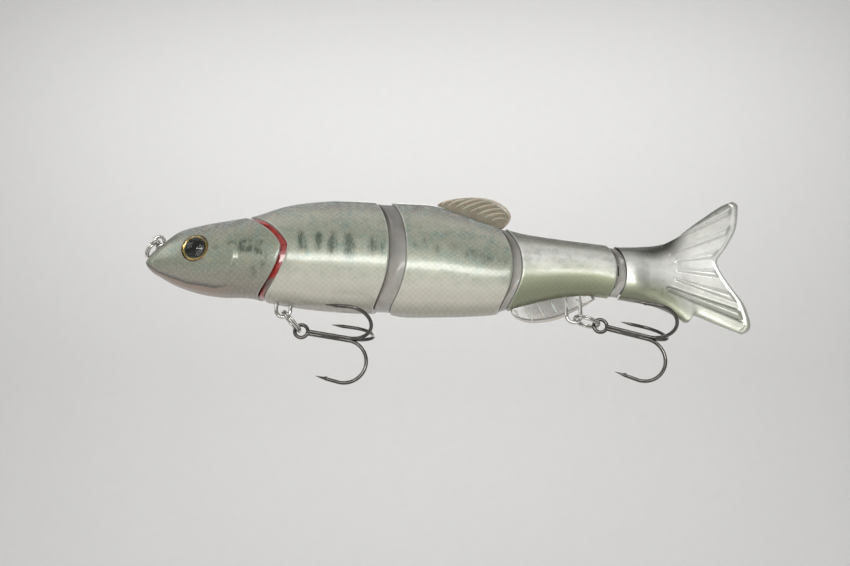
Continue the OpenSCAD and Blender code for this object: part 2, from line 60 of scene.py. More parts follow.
# body shape, in mm from the nose tip, the same rules as the CAD
body = {
    "length": 165, "depth": 33, "width": 20,
    "roundness": 2.3,      # 2 is an ellipse
    "wall": 1.3,
    "noseInset": 0.5,      # bare hinge noses lie this far under the skin
    "noseFlat": 1,
    "noseCore": 0.2,
    "plugGap": 0.15, "swingGap": 0.35,
    "rimRound": 0.35,      # rounding of the painted rims
    "seamDepth": 0.09, "seamWidth": 0.22,
    "tieEye": (2.98155, 0, 6.25944),   # the CAD's origin, seen from the nose tip
}
backLine = [
    (0, 0), (0.005, 0.045), (0.0135, 0.09), (0.03, 0.165), (0.057, 0.262), (0.097, 0.315), (0.13, 0.343),
    (0.168, 0.374), (0.187, 0.396), (0.227, 0.465), (0.265, 0.5), (0.321, 0.52), (0.394, 0.503),
    (0.436, 0.494), (0.479, 0.478), (0.509, 0.43), (0.539, 0.375), (0.579, 0.3), (0.611, 0.248),
    (0.638, 0.217), (0.697, 0.17), (0.756, 0.13), (0.79, 0.105), (0.846, 0.103)]
bellyLine = [
    (0, -0.02), (0.005, -0.058), (0.018, -0.103), (0.049, -0.19), (0.087, -0.257), (0.124, -0.29),
    (0.176, -0.307), (0.198, -0.338), (0.235, -0.378), (0.29, -0.415), (0.345, -0.438), (0.4, -0.448),
    (0.424, -0.474), (0.479, -0.479), (0.57, -0.464), (0.606, -0.42), (0.654, -0.36), (0.692, -0.324),
    (0.739, -0.315), (0.772, -0.336), (0.79, -0.35), (0.846, -0.41)]
widthLine = [
    (0, 0.1), (0.005, 0.2), (0.0135, 0.3), (0.03, 0.44), (0.055, 0.575), (0.088, 0.695), (0.121, 0.785),
    (0.164, 0.865), (0.2, 0.925), (0.242, 0.98), (0.303, 1), (0.364, 0.995), (0.424, 0.95),
    (0.485, 0.88), (0.545, 0.78), (0.594, 0.68), (0.642, 0.58), (0.697, 0.49), (0.752, 0.415),
    (0.794, 0.36), (0.846, 0.28)]

# rim, gap behind it, sweep of the edge at back and belly, pin, tongue and swing in degrees
joints = {
    "gill": {"rim": 37.9, "gap": 1.8, "sweep": (11.6, 6.8, 1.1, 1.5),
             "pin": 38.0, "pinR": 1, "tongue": 5, "swing": 7},
    "front": {"rim": 66.8, "gap": 4.6, "sweep": (4.4, 4.6, 2, 2),
              "pin": 70.8, "pinR": 1, "tongue": 5, "swing": 22},
    "mid": {"rim": 99.8, "gap": 2.6, "sweep": (4, 4, 2, 2),
            "pin": 102.3, "pinR": 1, "tongue": 5, "swing": 18},
    "tail": {"rim": 128.2, "gap": 2.6, "sweep": (2.4, 2.4, 2, 2),
             "pin": 130, "pinR": 0.8, "tongue": 3.2, "swing": 25},
}
straightEdge = (0, 0, 1, 1)


def smoothCurve(points, x):  # a smooth curve through the points, as the CAD draws it
    p = np.array(points, float)
    x = np.asarray(x, float)
    last = len(p) - 1
    i = np.clip(np.searchsorted(p[:, 0], x, side="right") - 1, 0, last - 1)
    before, after = np.maximum(np.arange(last + 1) - 1, 0), np.minimum(np.arange(last + 1) + 1, last)
    slope = (p[after, 1] - p[before, 1]) / (p[after, 0] - p[before, 0])
    d = p[i + 1, 0] - p[i, 0]
    t = np.clip((x - p[i, 0]) / d, 0, 1)
    return ((2 * t**3 - 3 * t**2 + 1) * p[i, 1] + (t**3 - 2 * t**2 + t) * slope[i] * d
            + (3 * t**2 - 2 * t**3) * p[i + 1, 1] + (t**3 - t**2) * slope[i + 1] * d)


def backZ(x):
    return smoothCurve(backLine, np.asarray(x) / body["length"]) * body["depth"]


def bellyZ(x):
    return smoothCurve(bellyLine, np.asarray(x) / body["length"]) * body["depth"]


def middleZ(x):
    return float(backZ(x) + bellyZ(x)) / 2


def halfWidth(x):
    return smoothCurve(widthLine, np.asarray(x) / body["length"]) * body["width"] / 2


def bulge(s):
    return np.sign(s) * np.abs(s) ** (2 / body["roundness"])


def skinPoint(x, angle, inset=0.0):  # angle runs from -90 at the belly to 90 at the back
    x, angle, inset = np.broadcast_arrays(x, angle, inset)
    h = (backZ(x) - bellyZ(x)) / 2
    y = np.maximum(halfWidth(x) - inset, 0) * bulge(np.cos(np.radians(angle)))
    height = np.maximum(h - inset, body["noseCore"] * h)
    z = (backZ(x) + bellyZ(x)) / 2 + height * bulge(np.sin(np.radians(angle)))
    return np.stack([x, y, z], -1)


def edgeX(middle, sweep, angle):
    s = np.sin(np.radians(angle))
    back, belly = np.maximum(s, 0), np.maximum(-s, 0)
    return middle - sweep[0] * back ** sweep[2] - sweep[1] * belly ** sweep[3]


def toRow(points):  # from the nose tip to the frame's origin, in metres
    return (np.asarray(points, float) - np.array(body["tieEye"])) * mm


# mesh helpers
sharpAngle = math.radians(42)


def linked(name, data):
    made = bpy.data.objects.new(name, data)
    bpy.context.scene.collection.objects.link(made)
    return made


def evaluated(piece):  # the piece's mesh with its modifiers applied
    return bpy.data.meshes.new_from_object(piece.evaluated_get(bpy.context.evaluated_depsgraph_get()))


def pieceFromData(name, verts, faces, uv=None, numbers=None, smooth=True):
    mesh = bpy.data.meshes.new(name)
    mesh.from_pydata([tuple(v) for v in verts], [], [tuple(f) for f in faces])
    mesh.update()
    if numbers:
        for key, values in numbers.items():
            layer = mesh.attributes.new(key, "FLOAT", "POINT")
            layer.data.foreach_set("value", np.asarray(values, np.float32).ravel())
    if uv is not None:
        layer = mesh.uv_layers.new(name="pieceMap")
        loopVerts = np.empty(len(mesh.loops), int)
        mesh.loops.foreach_get("vertex_index", loopVerts)
        layer.data.foreach_set("uv", np.asarray(uv, np.float32)[loopVerts].ravel())
    piece = linked(name, mesh)
    closeMesh(mesh, smooth)
    return piece


def closeMesh(mesh, smooth=True, merge=1e-7):  # joins doubled points and turns the faces outwards
    bm = bmesh.new()
    bm.from_mesh(mesh)
    bmesh.ops.remove_doubles(bm, verts=bm.verts, dist=merge)
    bmesh.ops.dissolve_degenerate(bm, edges=bm.edges, dist=merge)
    bmesh.ops.recalc_face_normals(bm, faces=bm.faces)
    bm.to_mesh(mesh)
    bm.free()
    if smooth:
        mesh.shade_smooth()
        mesh.set_sharp_from_angle(angle=sharpAngle)


def gridFaces(rows, columns, closedRows=False, closedColumns=False):
    faces = []
    for i in range(rows if closedRows else rows - 1):
        for j in range(columns if closedColumns else columns - 1):
            a, b = i * columns + j, i * columns + (j + 1) % columns
            c, d = (i + 1) % rows * columns + (j + 1) % columns, (i + 1) % rows * columns + j
            faces.append((a, b, c, d))
    return faces


def cutWith(piece, cutters):  # removes the cutters' shapes from the piece and the cutters from the scene
    for cutter in cutters:
        cut = piece.modifiers.new("cut", "BOOLEAN")
        cut.operation, cut.solver, cut.object = "DIFFERENCE", "EXACT", cutter
    done = evaluated(piece)
    piece.modifiers.clear()
    piece.data = done
    for cutter in cutters:
        bpy.data.objects.remove(cutter)
    closeMesh(done, True, 1e-6)


def prism(outline, low, high):  # an upright prism through (x, y) points in mm
    n = len(outline)
    verts = [(x, y, z) for z in (low, high) for x, y in outline]
    faces = [tuple(range(n))[::-1], tuple(range(n, 2 * n))]
    faces += [(i, (i + 1) % n, n + (i + 1) % n, n + i) for i in range(n)]
    return pieceFromData("cutter", toRow(verts), faces, smooth=False)


def sweepTube(points, radius, sides):  # a round wire along points in mm, with flat ends
    p = np.asarray(points, float)
    n = len(p)
    tangent = np.gradient(p, axis=0)
    tangent /= np.linalg.norm(tangent, axis=1)[:, None]
    side = np.cross(tangent, (0, 1.0, 0))  # every wire here lies in the plane of X and Z
    side /= np.linalg.norm(side, axis=1)[:, None]
    up = np.cross(side, tangent)
    turn = np.linspace(0, 2 * math.pi, sides, endpoint=False)
    around = np.cos(turn)[None, :, None] * side[:, None] + np.sin(turn)[None, :, None] * up[:, None]
    faces = gridFaces(n, sides, closedColumns=True)
    faces += [tuple(range(sides)), tuple(range((n - 1) * sides, n * sides))[::-1]]
    return (p[:, None] + radius * around).reshape(-1, 3), faces


# short ways to write nodes
class Nodes:
    def node(self, kind, inputs=(), **settings):
        made = self.tree.nodes.new(kind)
        for key, value in settings.items():
            setattr(made, key, value)
        for key, value in dict(inputs).items():
            for item in value if isinstance(value, list) else [value]:
                if isinstance(item, bpy.types.NodeSocket):
                    self.tree.links.new(item, made.inputs[key])
                else:
                    made.inputs[key].default_value = item
        return made

    def maths(self, operation, a, b=0.0):
        return self.node("ShaderNodeMath", {0: a, 1: b}, operation=operation).outputs[0]

    def add(self, first, *rest):
        for value in rest:
            first = self.maths("ADD", first, value)
        return first

    def times(self, first, *rest):
        for value in rest:
            first = self.maths("MULTIPLY", first, value)
        return first

    def minus(self, a, b):
        return self.maths("SUBTRACT", a, b)

    def over(self, a, b):
        return self.maths("DIVIDE", a, b)

    def least(self, a, b):
        return self.maths("MINIMUM", a, b)

    def most(self, a, b):
        return self.maths("MAXIMUM", a, b)

    def sine(self, a):
        return self.maths("SINE", a)

    def cosine(self, a):
        return self.maths("COSINE", a)

    def span(self, value, fromLow, fromHigh, toLow=0.0, toHigh=1.0, **settings):
        inputs = {"Value": value, "From Min": fromLow, "From Max": fromHigh, "To Min": toLow, "To Max": toHigh}
        return self.node("ShaderNodeMapRange", inputs, **settings).outputs[0]


class Shader(Nodes):
    def __init__(self, name):
        self.material = bpy.data.materials.new(name)
        self.material.use_nodes = True
        self.tree = self.material.node_tree
        self.bsdf = self.tree.nodes["Principled BSDF"]
        self.coords = self.node("ShaderNodeTexCoord").outputs["Object"]

    def set(self, **sockets):
        for key, value in sockets.items():
            self.bsdf.inputs[key.replace("_", " ")].default_value = value

    def link(self, value, socket):
        self.tree.links.new(value, self.bsdf.inputs[socket])

    def colour(self, value):
        self.link(value, "Base Color")

    def noise(self, scale, detail, rough=0.55, stretch=None):
        place = self.coords
        if stretch:
            place = self.node("ShaderNodeMapping", {"Vector": place, "Scale": stretch}).outputs["Vector"]
        inputs = {"Vector": place, "Scale": scale, "Detail": detail, "Roughness": rough}
        return self.node("ShaderNodeTexNoise", inputs).outputs["Fac"]

    def patches(self, scale, detail, low, high, toLow=0.0, toHigh=1.0, rough=0.55, stretch=None):
        return self.span(self.noise(scale, detail, rough, stretch), low, high, toLow, toHigh)

    def sheen(self, scale, detail, smooth, dull, rough=0.55, stretch=None):  # roughness in soft patches
        self.link(self.patches(scale, detail, 0.3, 0.7, smooth, dull, rough, stretch), "Roughness")

    def cells(self, scale, feature="F1", output="Distance"):
        made = self.node("ShaderNodeTexVoronoi", {"Vector": self.coords, "Scale": scale}, feature=feature)
        return made.outputs[output]

    def value(self, name):
        return self.node("ShaderNodeAttribute", attribute_name=name).outputs["Fac"]

    def ramp(self, value, stops):
        made = self.node("ShaderNodeValToRGB", {"Fac": value})
        elements = made.color_ramp.elements
        while len(elements) < len(stops):
            elements.new(0.5)
        for element, (place, colour) in zip(elements, stops):
            element.position = place
            element.color = (*colour, 1)
        return made.outputs["Color"]

    def mix(self, share, a, b):
        made = self.node("ShaderNodeMix", {0: share}, data_type="RGBA")
        for socket, value in ((made.inputs[6], a), (made.inputs[7], b)):
            if isinstance(value, bpy.types.NodeSocket):
                self.tree.links.new(value, socket)
            else:
                socket.default_value = (*value, 1)
        return made.outputs[2]

    def bump(self, height, strength, distance):  # the last step of each material
        made = self.node("ShaderNodeBump", {"Height": height, "Strength": strength, "Distance": distance})
        self.link(made.outputs["Normal"], "Normal")
        return self.material


# painted skin: scales in metres, then the colours laid over the ramp from belly to back; the darkest of them is
# painted shade in creases and grooves, and also the snout's own dark top stripe
pearl = {
    "scaleSize": 0.0017, "scaleSlant": 1.25,
    "teal": (0.15, 0.235, 0.20), "ochre": (0.36, 0.31, 0.20), "speck": (0.60, 0.62, 0.56),
    "scaleLine": (0.13, 0.155, 0.125), "scaleFace": (0.58, 0.59, 0.53), "spot": (0.045, 0.065, 0.045),
    # painted highlight: the rim colour is a pale line laid along the rims and the tail's trailing edge
    "blush": (0.33, 0.25, 0.20), "rim": (0.60, 0.60, 0.56), "soot": (0.05, 0.045, 0.035),
    "coatRoughness": 0.15, "rippleStrength": 0.24, "rippleDepth": 0.00006,
}


def pearlPaint(name, stops, metal, rough, coat, mottle):
    s = Shader(name)
    base = s.ramp(s.add(s.value("tone"), s.patches(140, 4, 0, 1, -0.045, 0.045)), stops)
    upper = s.span(s.value("tone"), 0.30, 0.46, 0.12, 1.0)
    teal = s.times(s.patches(330, 6, 0.48, 0.64, rough=0.75), upper)
    ochre = s.times(s.patches(430, 6, 0.5, 0.66, rough=0.75, stretch=(1, 1, 1.3)), upper)
    grain = s.cells(1500, "SMOOTH_F1")
    base = s.mix(s.times(teal, mottle), base, pearl["teal"])
    base = s.mix(s.times(ochre, mottle * 0.7), base, pearl["ochre"])
    base = s.mix(s.times(s.span(grain, 0.15, 0.65, 0.0, 0.16), mottle), base, pearl["speck"])
    place = s.node("ShaderNodeSeparateXYZ", {0: s.coords}).outputs
    slant = s.times(place["Z"], pearl["scaleSlant"])
    turns = 2 * math.pi / pearl["scaleSize"]
    rows = [s.sine(s.times(along, turns)) for along in (s.add(place["X"], slant), s.minus(place["X"], slant))]
    scales = s.most(*rows)
    base = s.mix(s.span(scales, 0.7, 1.0, 0.0, 0.17 * mottle), base, pearl["scaleLine"])
    base = s.mix(s.span(scales, 0.1, -0.9, 0.0, 0.14 * mottle), base, pearl["scaleFace"])
    smear = s.patches(950, 6, 0.36, 0.56, rough=0.8, stretch=(1.6, 1, 0.6))
    base = s.mix(s.span(s.times(s.value("spots"), smear), 0.06, 0.6, 0.0, 0.9), base, pearl["spot"])
    # the jaw's own pink blush, then a painted highlight along the rims, then painted shade in creases with the
    # snout's dark stripe
    for layer in ("blush", "rim", "soot"):
        base = s.mix(s.value(layer), base, pearl[layer])
    s.colour(base)
    s.sheen(900, 3, rough - 0.05, rough + 0.07)
    s.set(Metallic=metal, Coat_Weight=coat, Coat_Roughness=pearl["coatRoughness"])
    ripple = s.add(s.times(s.noise(420, 3), 0.7), s.times(s.span(grain, 0.3, 0.8), 0.3 * mottle))
    return s.bump(ripple, pearl["rippleStrength"], pearl["rippleDepth"])


# colours from the belly, 0, to the back, 1; the darkening towards the back is partly the back's own darker paint
# and partly painted shade along the top outline, and the darker belly edge of the flank ramp is painted shade
flankStops = [
    (0.0, (0.34, 0.315, 0.26)), (0.12, (0.42, 0.395, 0.33)), (0.2, (0.60, 0.57, 0.49)),
    (0.31, (0.58, 0.565, 0.48)), (0.42, (0.30, 0.32, 0.245)), (0.54, (0.25, 0.28, 0.215)),
    (0.62, (0.37, 0.38, 0.31)), (0.69, (0.30, 0.29, 0.235)), (0.75, (0.15, 0.138, 0.11)),
    (0.82, (0.05, 0.045, 0.035)), (1.0, (0.025, 0.022, 0.018))]
headStops = [
    (0.0, (0.20, 0.17, 0.14)), (0.2, (0.25, 0.22, 0.18)), (0.32, (0.23, 0.225, 0.175)),
    (0.44, (0.21, 0.235, 0.17)), (0.56, (0.23, 0.25, 0.18)), (0.63, (0.23, 0.225, 0.175)),
    (0.69, (0.13, 0.125, 0.10)), (0.76, (0.05, 0.047, 0.036)), (1.0, (0.025, 0.023, 0.019))]
# painted highlight: the bright band near the middle of the satin ramp
satinStops = [
    (0.0, (0.27, 0.27, 0.185)), (0.22, (0.24, 0.265, 0.165)), (0.38, (0.29, 0.31, 0.20)),
    (0.47, (0.48, 0.49, 0.42)), (0.55, (0.84, 0.84, 0.80)), (0.63, (0.72, 0.72, 0.68)),
    (0.70, (0.25, 0.245, 0.21)), (0.77, (0.09, 0.086, 0.07)), (1.0, (0.045, 0.042, 0.036))]
# painted highlight: the bright band in the middle of the tail ramp, with painted shade towards its top edge
tailStops = [
    (0.0, (0.20, 0.20, 0.15)), (0.18, (0.23, 0.245, 0.17)), (0.30, (0.30, 0.315, 0.225)),
    (0.42, (0.56, 0.57, 0.51)), (0.54, (0.90, 0.90, 0.87)), (0.64, (0.78, 0.78, 0.74)),
    (0.72, (0.34, 0.34, 0.31)), (0.79, (0.09, 0.09, 0.077)), (1.0, (0.05, 0.05, 0.043))]
paint = {
    "flank": pearlPaint("pearlFlank", flankStops, 0.25, 0.34, 0.85, 0.8),
    "head": pearlPaint("pearlHead", headStops, 0.25, 0.34, 0.8, 0.8),
    "satin": pearlPaint("satinSilver", satinStops, 0.6, 0.36, 0.5, 0.35),
    "tail": pearlPaint("satinTail", tailStops, 0.75, 0.32, 0.5, 0.1),
}


def barePlastic():
    s = Shader("bareHingePlastic")
    stops = [(0.3, (0.28, 0.265, 0.245)), (0.55, (0.40, 0.385, 0.355)), (0.75, (0.52, 0.505, 0.475))]
    # painted shade: darker towards the top of each nose, from the shade attribute
    s.colour(s.mix(s.value("shade"), s.ramp(s.noise(160, 4), stops), (0.075, 0.07, 0.064)))
    s.sheen(1300, 2, 0.28, 0.42, 0.5, (0.3, 1, 1))
    s.set(Subsurface_Weight=0.25, Subsurface_Scale=0.002, Coat_Weight=0.4, Coat_Roughness=0.12)
    return s.bump(s.noise(700, 3, 0.6, (0.25, 1, 1)), 0.12, 0.00005)


def redPaint():
    s = Shader("glossRedGill")
    wear = s.noise(380, 4, 0.7)
    stops = [(0.3, (0.26, 0.013, 0.010)), (0.55, (0.40, 0.024, 0.018)), (0.8, (0.55, 0.07, 0.045))]
    base = s.ramp(wear, stops)
    # painted shade: the top of the red band darkens to a deep red-brown
    base = s.mix(s.value("soot"), base, (0.05, 0.022, 0.016))
    s.colour(s.mix(s.value("bareness"), base, (0.19, 0.175, 0.155)))
    s.link(s.span(wear, 0.3, 0.7, 0.18, 0.34), "Roughness")
    s.set(Coat_Weight=1.0, Coat_Roughness=0.05)
    return s.bump(s.noise(600, 2), 0.1, 0.00005)


def irisFoil():
    s = Shader("holographicIris")
    ring = s.value("ring")
    glint = {"Color": s.cells(2600.0, output="Color"), "Saturation": 1.5, "Value": 1.0}
    flash = s.node("ShaderNodeHueSaturation", glint).outputs["Color"]
    gold = s.mix(s.patches(1800, 2, 0.52, 0.66, 0.0, 0.75), (0.62, 0.43, 0.12), flash)
    gold = s.mix(s.patches(900, 2, 0.5, 0.62, 0.0, 0.55), gold, (0.16, 0.12, 0.03))
    stops = [(0.0, (0.004, 0.005, 0.004)), (0.56, (0.006, 0.008, 0.006)), (0.64, (0.02, 0.024, 0.014))]
    pupil = s.ramp(ring, stops)
    foil = s.mix(s.span(ring, 0.735, 0.765), pupil, gold)
    s.colour(s.mix(s.span(ring, 0.91, 0.94), foil, (0.012, 0.011, 0.008)))
    s.link(s.span(ring, 0.725, 0.76, 0.0, 0.8), "Metallic")
    s.set(Roughness=0.24, Specular_IOR_Level=0.15)
    return s.bump(s.cells(2600), 0.25, 0.00005)


def clearDome():
    s = Shader("clearDome")
    s.sheen(500, 2, 0.0, 0.03)
    s.set(Transmission_Weight=1.0, IOR=1.34, Base_Color=(0.99, 0.99, 0.97, 1))
    return s.material


def finMoulding(name, low, high, rib, warm):
    s = Shader(name)
    base = s.mix(s.value("edge"), s.ramp(s.noise(260, 4), [(0.32, low), (0.7, high)]), rib)
    s.colour(s.mix(s.patches(900, 4, 0.52, 0.7, 0.0, 0.4, 0.7), base, warm))
    s.sheen(700, 3, 0.24, 0.38)
    s.set(Subsurface_Weight=0.3, Subsurface_Scale=0.002, Coat_Weight=0.7, Coat_Roughness=0.08)
    return s.bump(s.noise(800, 3), 0.12, 0.00005)


def platedWire(name, bright, dark):
    s = Shader(name)
    s.colour(s.ramp(s.noise(260, 4), [(0.3, dark), (0.62, bright)]))
    s.sheen(700, 3, 0.08, 0.18)
    s.set(Metallic=1.0)
    return s.bump(s.noise(1200, 2), 0.03, 0.00002)


def mouldedNylon():
    s = Shader("darkNylon")
    s.colour(s.ramp(s.noise(420, 4), [(0.3, (0.05, 0.048, 0.045)), (0.7, (0.10, 0.097, 0.09))]))
    s.set(Roughness=0.5)
    return s.bump(s.noise(1600, 3), 0.2, 0.00005)


def castLead():
    s = Shader("castLead")
    s.colour(s.ramp(s.noise(300, 5, 0.7), [(0.3, (0.10, 0.10, 0.105)), (0.7, (0.24, 0.24, 0.25))]))
    s.sheen(500, 3, 0.45, 0.7)
    s.set(Metallic=0.9)
    return s.bump(s.noise(600, 4), 0.3, 0.0001)


# fin mouldings: dark, light, edge and warm colour; the Ribs entries are lighter copies of the Blade mouldings, a
# painted highlight on the raised ribs
finColours = {
    "creamFinBlade": ((0.22, 0.19, 0.135), (0.32, 0.285, 0.21), (0.50, 0.46, 0.37), (0.17, 0.135, 0.085)),
    "creamFinRibs": ((0.46, 0.41, 0.31), (0.58, 0.53, 0.42), (0.5, 0.46, 0.36), (0.38, 0.31, 0.21)),
    "frostedFinBlade": ((0.19, 0.185, 0.165), (0.27, 0.265, 0.24), (0.52, 0.51, 0.48), (0.22, 0.205, 0.17)),
    "frostedFinRibs": ((0.66, 0.65, 0.61), (0.78, 0.77, 0.73), (0.8, 0.8, 0.76), (0.6, 0.56, 0.48)),
}
finish = {
    "bare": barePlastic(), "red": redPaint(), "iris": irisFoil(), "dome": clearDome(),
    **{name: finMoulding(name, *colours) for name, colours in finColours.items()},
    "nickel": platedWire("brightNickel", (0.66, 0.65, 0.62), (0.50, 0.49, 0.46)),
    "blackNickel": platedWire("blackNickel", (0.135, 0.128, 0.12), (0.085, 0.08, 0.075)),
    "nylon": mouldedNylon(), "lead": castLead(),
}
print("materials made:", len(paint) + len(finish))


def dress(piece, material):
    piece.data.materials.clear()
    piece.data.materials.append(material)


def hold(piece, bodyName, slot, *nodes):  # the piece rides with a CAD body and stands for CAD nodes
    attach(piece, bodyName)
    if nodes:
        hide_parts(*nodes)


# painted skins
skin = {
    "angles": 113, "seamRows": (0.25, 0.7, 1.5),       # extra rows near the seam, in degrees
    "edgeRows": (0.0, 0.03, 0.1, 0.22, 0.45, 0.9),     # rows near a rim, in mm
    "jawLine": [(0.5, -1.0), (4, -3.4), (7.6, -5.1), (12.6, -7.0), (19.8, -8.4), (25, -8.2)],
    "jawGroove": 0.26, "jawLip": 0.22, "jawReach": 0.42,
    "cheekLine": [(-7, 23.3), (-5.7, 24.3), (-1.7, 25.9), (2.5, 25.6), (6.5, 24.0), (8, 23.0)],  # z, x
    "cheekStep": 0.3, "cheekReach": 3.5,
    "eyeX": 14.5, "eyeHeight": 0.0545, "eyeR": 3.8, "eyeSeat": 0.9, "eyeGap": 0.05, "irisT": 0.5, "domeH": 1.5,
    "tip": 0.02, "cavityStart": 6.0,    # where the head's skin and its cavity start
    "endZone": 1.4,     # finely spaced rows at a rim
}
# dark marks: x, z, half length, half height, strength
marks = [
    (28.9, 3.1, 1.4, 0.9, 0.6), (32.3, 2.4, 1.0, 0.9, 0.7), (24.2, 2.6, 1.2, 0.7, 0.5),
    (33.2, -3.6, 0.8, 1.2, 0.6), (30.6, -4.4, 0.9, 0.8, 0.4), (27.2, 1.4, 1.5, 1.5, 0.9),
    (29.8, 0.7, 1.5, 1.0, 0.9), (32.4, -0.2, 1.2, 1.0, 1.0), (34.3, -1.6, 0.6, 1.0, 0.6),
    (20.4, 1.6, 1.2, 0.8, 0.35), (25.7, -3.2, 0.6, 1.4, 0.3), (31.0, -6.2, 0.8, 1.2, 0.4),
    (43.2, 2.8, 0.9, 2.6, 1.0), (44.6, 0.8, 0.8, 1.6, 0.7), (48.0, 2.6, 1.0, 2.5, 1.2),
    (51.6, 1.6, 1.2, 2.8, 1.2), (56.2, 1.3, 1.4, 3.0, 1.3), (62.6, 1.1, 1.4, 2.4, 0.9),
    (65.2, 1.0, 0.7, 2.4, 0.6), (73.8, 1.2, 0.9, 1.4, 0.5), (76.4, 1.9, 0.9, 1.6, 0.55),
    (79.5, 0.4, 1.2, 1.8, 0.45), (84.0, 1.0, 1.5, 1.5, 0.35), (88.5, -0.8, 2.2, 1.6, 0.5),
    (93.0, -2.0, 2.4, 1.7, 0.5), (97.5, -2.4, 1.6, 1.5, 0.4)]


def along(line, at):  # straight lines between the points
    return np.interp(at, *zip(*line))


def hump(distance, reach):
    return np.exp(-(distance / reach) ** 2)


def relief(x, z):  # how far the head's skin stands out, in mm
    jaw = along(skin["jawLine"], x)
    end = np.clip((skin["jawLine"][-1][0] + 1 - x) / 4, 0, 1) * np.clip((x - 0.6) / 1.5, 0, 1)
    d = z - jaw
    reach = skin["jawReach"]
    lips = hump(d - 1.6 * reach, 1.6 * reach) + 0.8 * hump(d + 2.2 * reach, 2 * reach)
    out = end * (skin["jawLip"] * lips - skin["jawGroove"] * hump(d, reach))
    cheek = along(skin["cheekLine"], z)
    fade = np.clip((z + 8) / 3, 0, 1) * np.clip((9 - z) / 3, 0, 1)
    d = x - cheek
    step = 0.5 * (1 - np.tanh(d / 0.3)) * hump(np.minimum(d, 0), skin["cheekReach"])
    return out + fade * skin["cheekStep"] * step


def headMarks(x, z, tone):  # painted shade in the jaw's groove, the snout's own dark top stripe, and the paler jaw
    jaw = along(skin["jawLine"], x)
    end = np.clip((skin["jawLine"][-1][0] - x) / 5, 0, 1)
    groove = 0.75 * end * hump(z - jaw, 0.3)
    stripe = 0.8 * np.clip((tone - 0.70) / 0.08, 0, 1) * np.clip((12 - x) / 4, 0, 1)
    return np.maximum(groove, stripe), 0.8 * end * np.clip((jaw - z) / 0.5, 0, 1)


def spotMask(x, z):
    return np.clip(sum(s * hump(x - mx, w) * hump(z - mz, h) for mx, mz, w, h, s in marks), 0, 1)


def skinHalf(name, front, frontSweep, rear, rearSweep, alongRows, side, isHead=False):
    ends = np.array(skin["seamRows"])
    middle = np.linspace(-87.5, 87.5, skin["angles"])
    angles = np.concatenate([[-90], -90 + ends, middle, 90 - ends[::-1], [90]])
    edge = np.array(skin["edgeRows"])
    low, high = edgeX(front, frontSweep, angles), edgeX(rear, rearSweep, angles)
    inner = np.linspace(0, 1, alongRows)[:, None]
    middle = (low + skin["endZone"]) * (1 - inner) + (high - skin["endZone"]) * inner
    rows = np.concatenate([low + edge[:, None], middle, high - edge[::-1, None]])
    fromRim = np.minimum(rows - low, high - rows) if not isHead else high - rows
    r = body["rimRound"]
    gap = np.clip(r - fromRim, 0, r)
    inset = r - np.sqrt(r * r - gap * gap)
    if isHead:
        inset -= relief(rows, skinPoint(rows, angles)[..., 2])
    outer = skinPoint(rows, angles, inset)
    seam = body["seamDepth"] * np.exp(-(outer[..., 1] / body["seamWidth"]) ** 2)
    outer = skinPoint(rows, angles, inset + seam)
    innerRows = rows
    if isHead:  # the cavity starts behind the snout, and the snout closes in one point
        start = skin["cavityStart"]
        innerRows = start + (rows - low) * (high - start) / (high - low)
        outer[0, :, 1:] = (0, middleZ(front))
    inside = skinPoint(innerRows, angles, body["wall"])
    n, m = rows.shape
    loop = np.concatenate([outer, inside[::-1]])
    loop[..., 1] *= side
    verts = toRow(loop.reshape(-1, 3))
    faces = gridFaces(2 * n, m, closedRows=True)
    for column in (0, m - 1):  # the seam's own faces
        for i in range(n - 1):
            corners = (i, i + 1, 2 * n - 2 - i, 2 * n - 1 - i)
            faces.append(tuple(row * m + column for row in corners))
    tone = np.broadcast_to((angles + 90) / 180, loop.shape[:2])
    flat = loop.reshape(-1, 3)
    # painted highlight: a pale line along each rim
    rim = np.zeros((2 * n, m))
    rim[:n] = 0.55 * hump(np.clip(fromRim, 0, 9), 0.28)
    dark, blush = headMarks(flat[:, 0], flat[:, 2], tone.ravel()) if isHead else np.zeros((2, len(flat)))
    uv = np.stack([flat[:, 0] / body["length"], tone.ravel()], -1)
    spots = spotMask(flat[:, 0], flat[:, 2])
    numbers = {"tone": tone, "spots": spots, "rim": rim, "soot": dark, "blush": blush}
    return pieceFromData(name, verts, faces, uv, numbers)


def eyePlace(side):  # turns the eye's own space, Z out of the flank, into the frame
    x, z = skin["eyeX"], skin["eyeHeight"] * body["depth"]
    r = skin["eyeR"]
    turn = math.atan((float(halfWidth(x + r)) - float(halfWidth(x - r))) / (2 * r))
    h = float(backZ(x) - bellyZ(x)) / 2
    s = (z - middleZ(x)) / h
    angle = math.degrees(math.asin(math.copysign(abs(s) ** (body["roundness"] / 2), s)))
    p = skinPoint(x, angle)
    facing = Matrix.Rotation(-turn, 4, "Z") @ Matrix.Rotation(math.pi / 2, 4, "X")
    place = Matrix.Translation(Vector(toRow((p[0], -p[1], p[2])))) @ facing
    return Matrix.Scale(-1, 4, (0, 1, 0)) @ place if side > 0 else place


def lathe(name, profile, place, numbers=None, sides=96):  # turns (radius, height) points about Z, in mm
    turn = np.linspace(0, 2 * math.pi, sides, endpoint=False)
    points = [(r * math.cos(t), r * math.sin(t), z) for r, z in profile for t in turn]
    verts = [place @ (Vector(point) * mm) for point in points]
    values = {key: np.repeat(v, sides) for key, v in (numbers or {}).items()}
    return pieceFromData(name, verts, gridFaces(len(profile), sides, closedColumns=True), None, values)


def eyeSocket(side):
    r = skin["eyeR"] + skin["eyeGap"]
    return lathe("cutter", [(0, -skin["eyeSeat"]), (r, -skin["eyeSeat"]), (r, 3), (0, 3)], eyePlace(side))


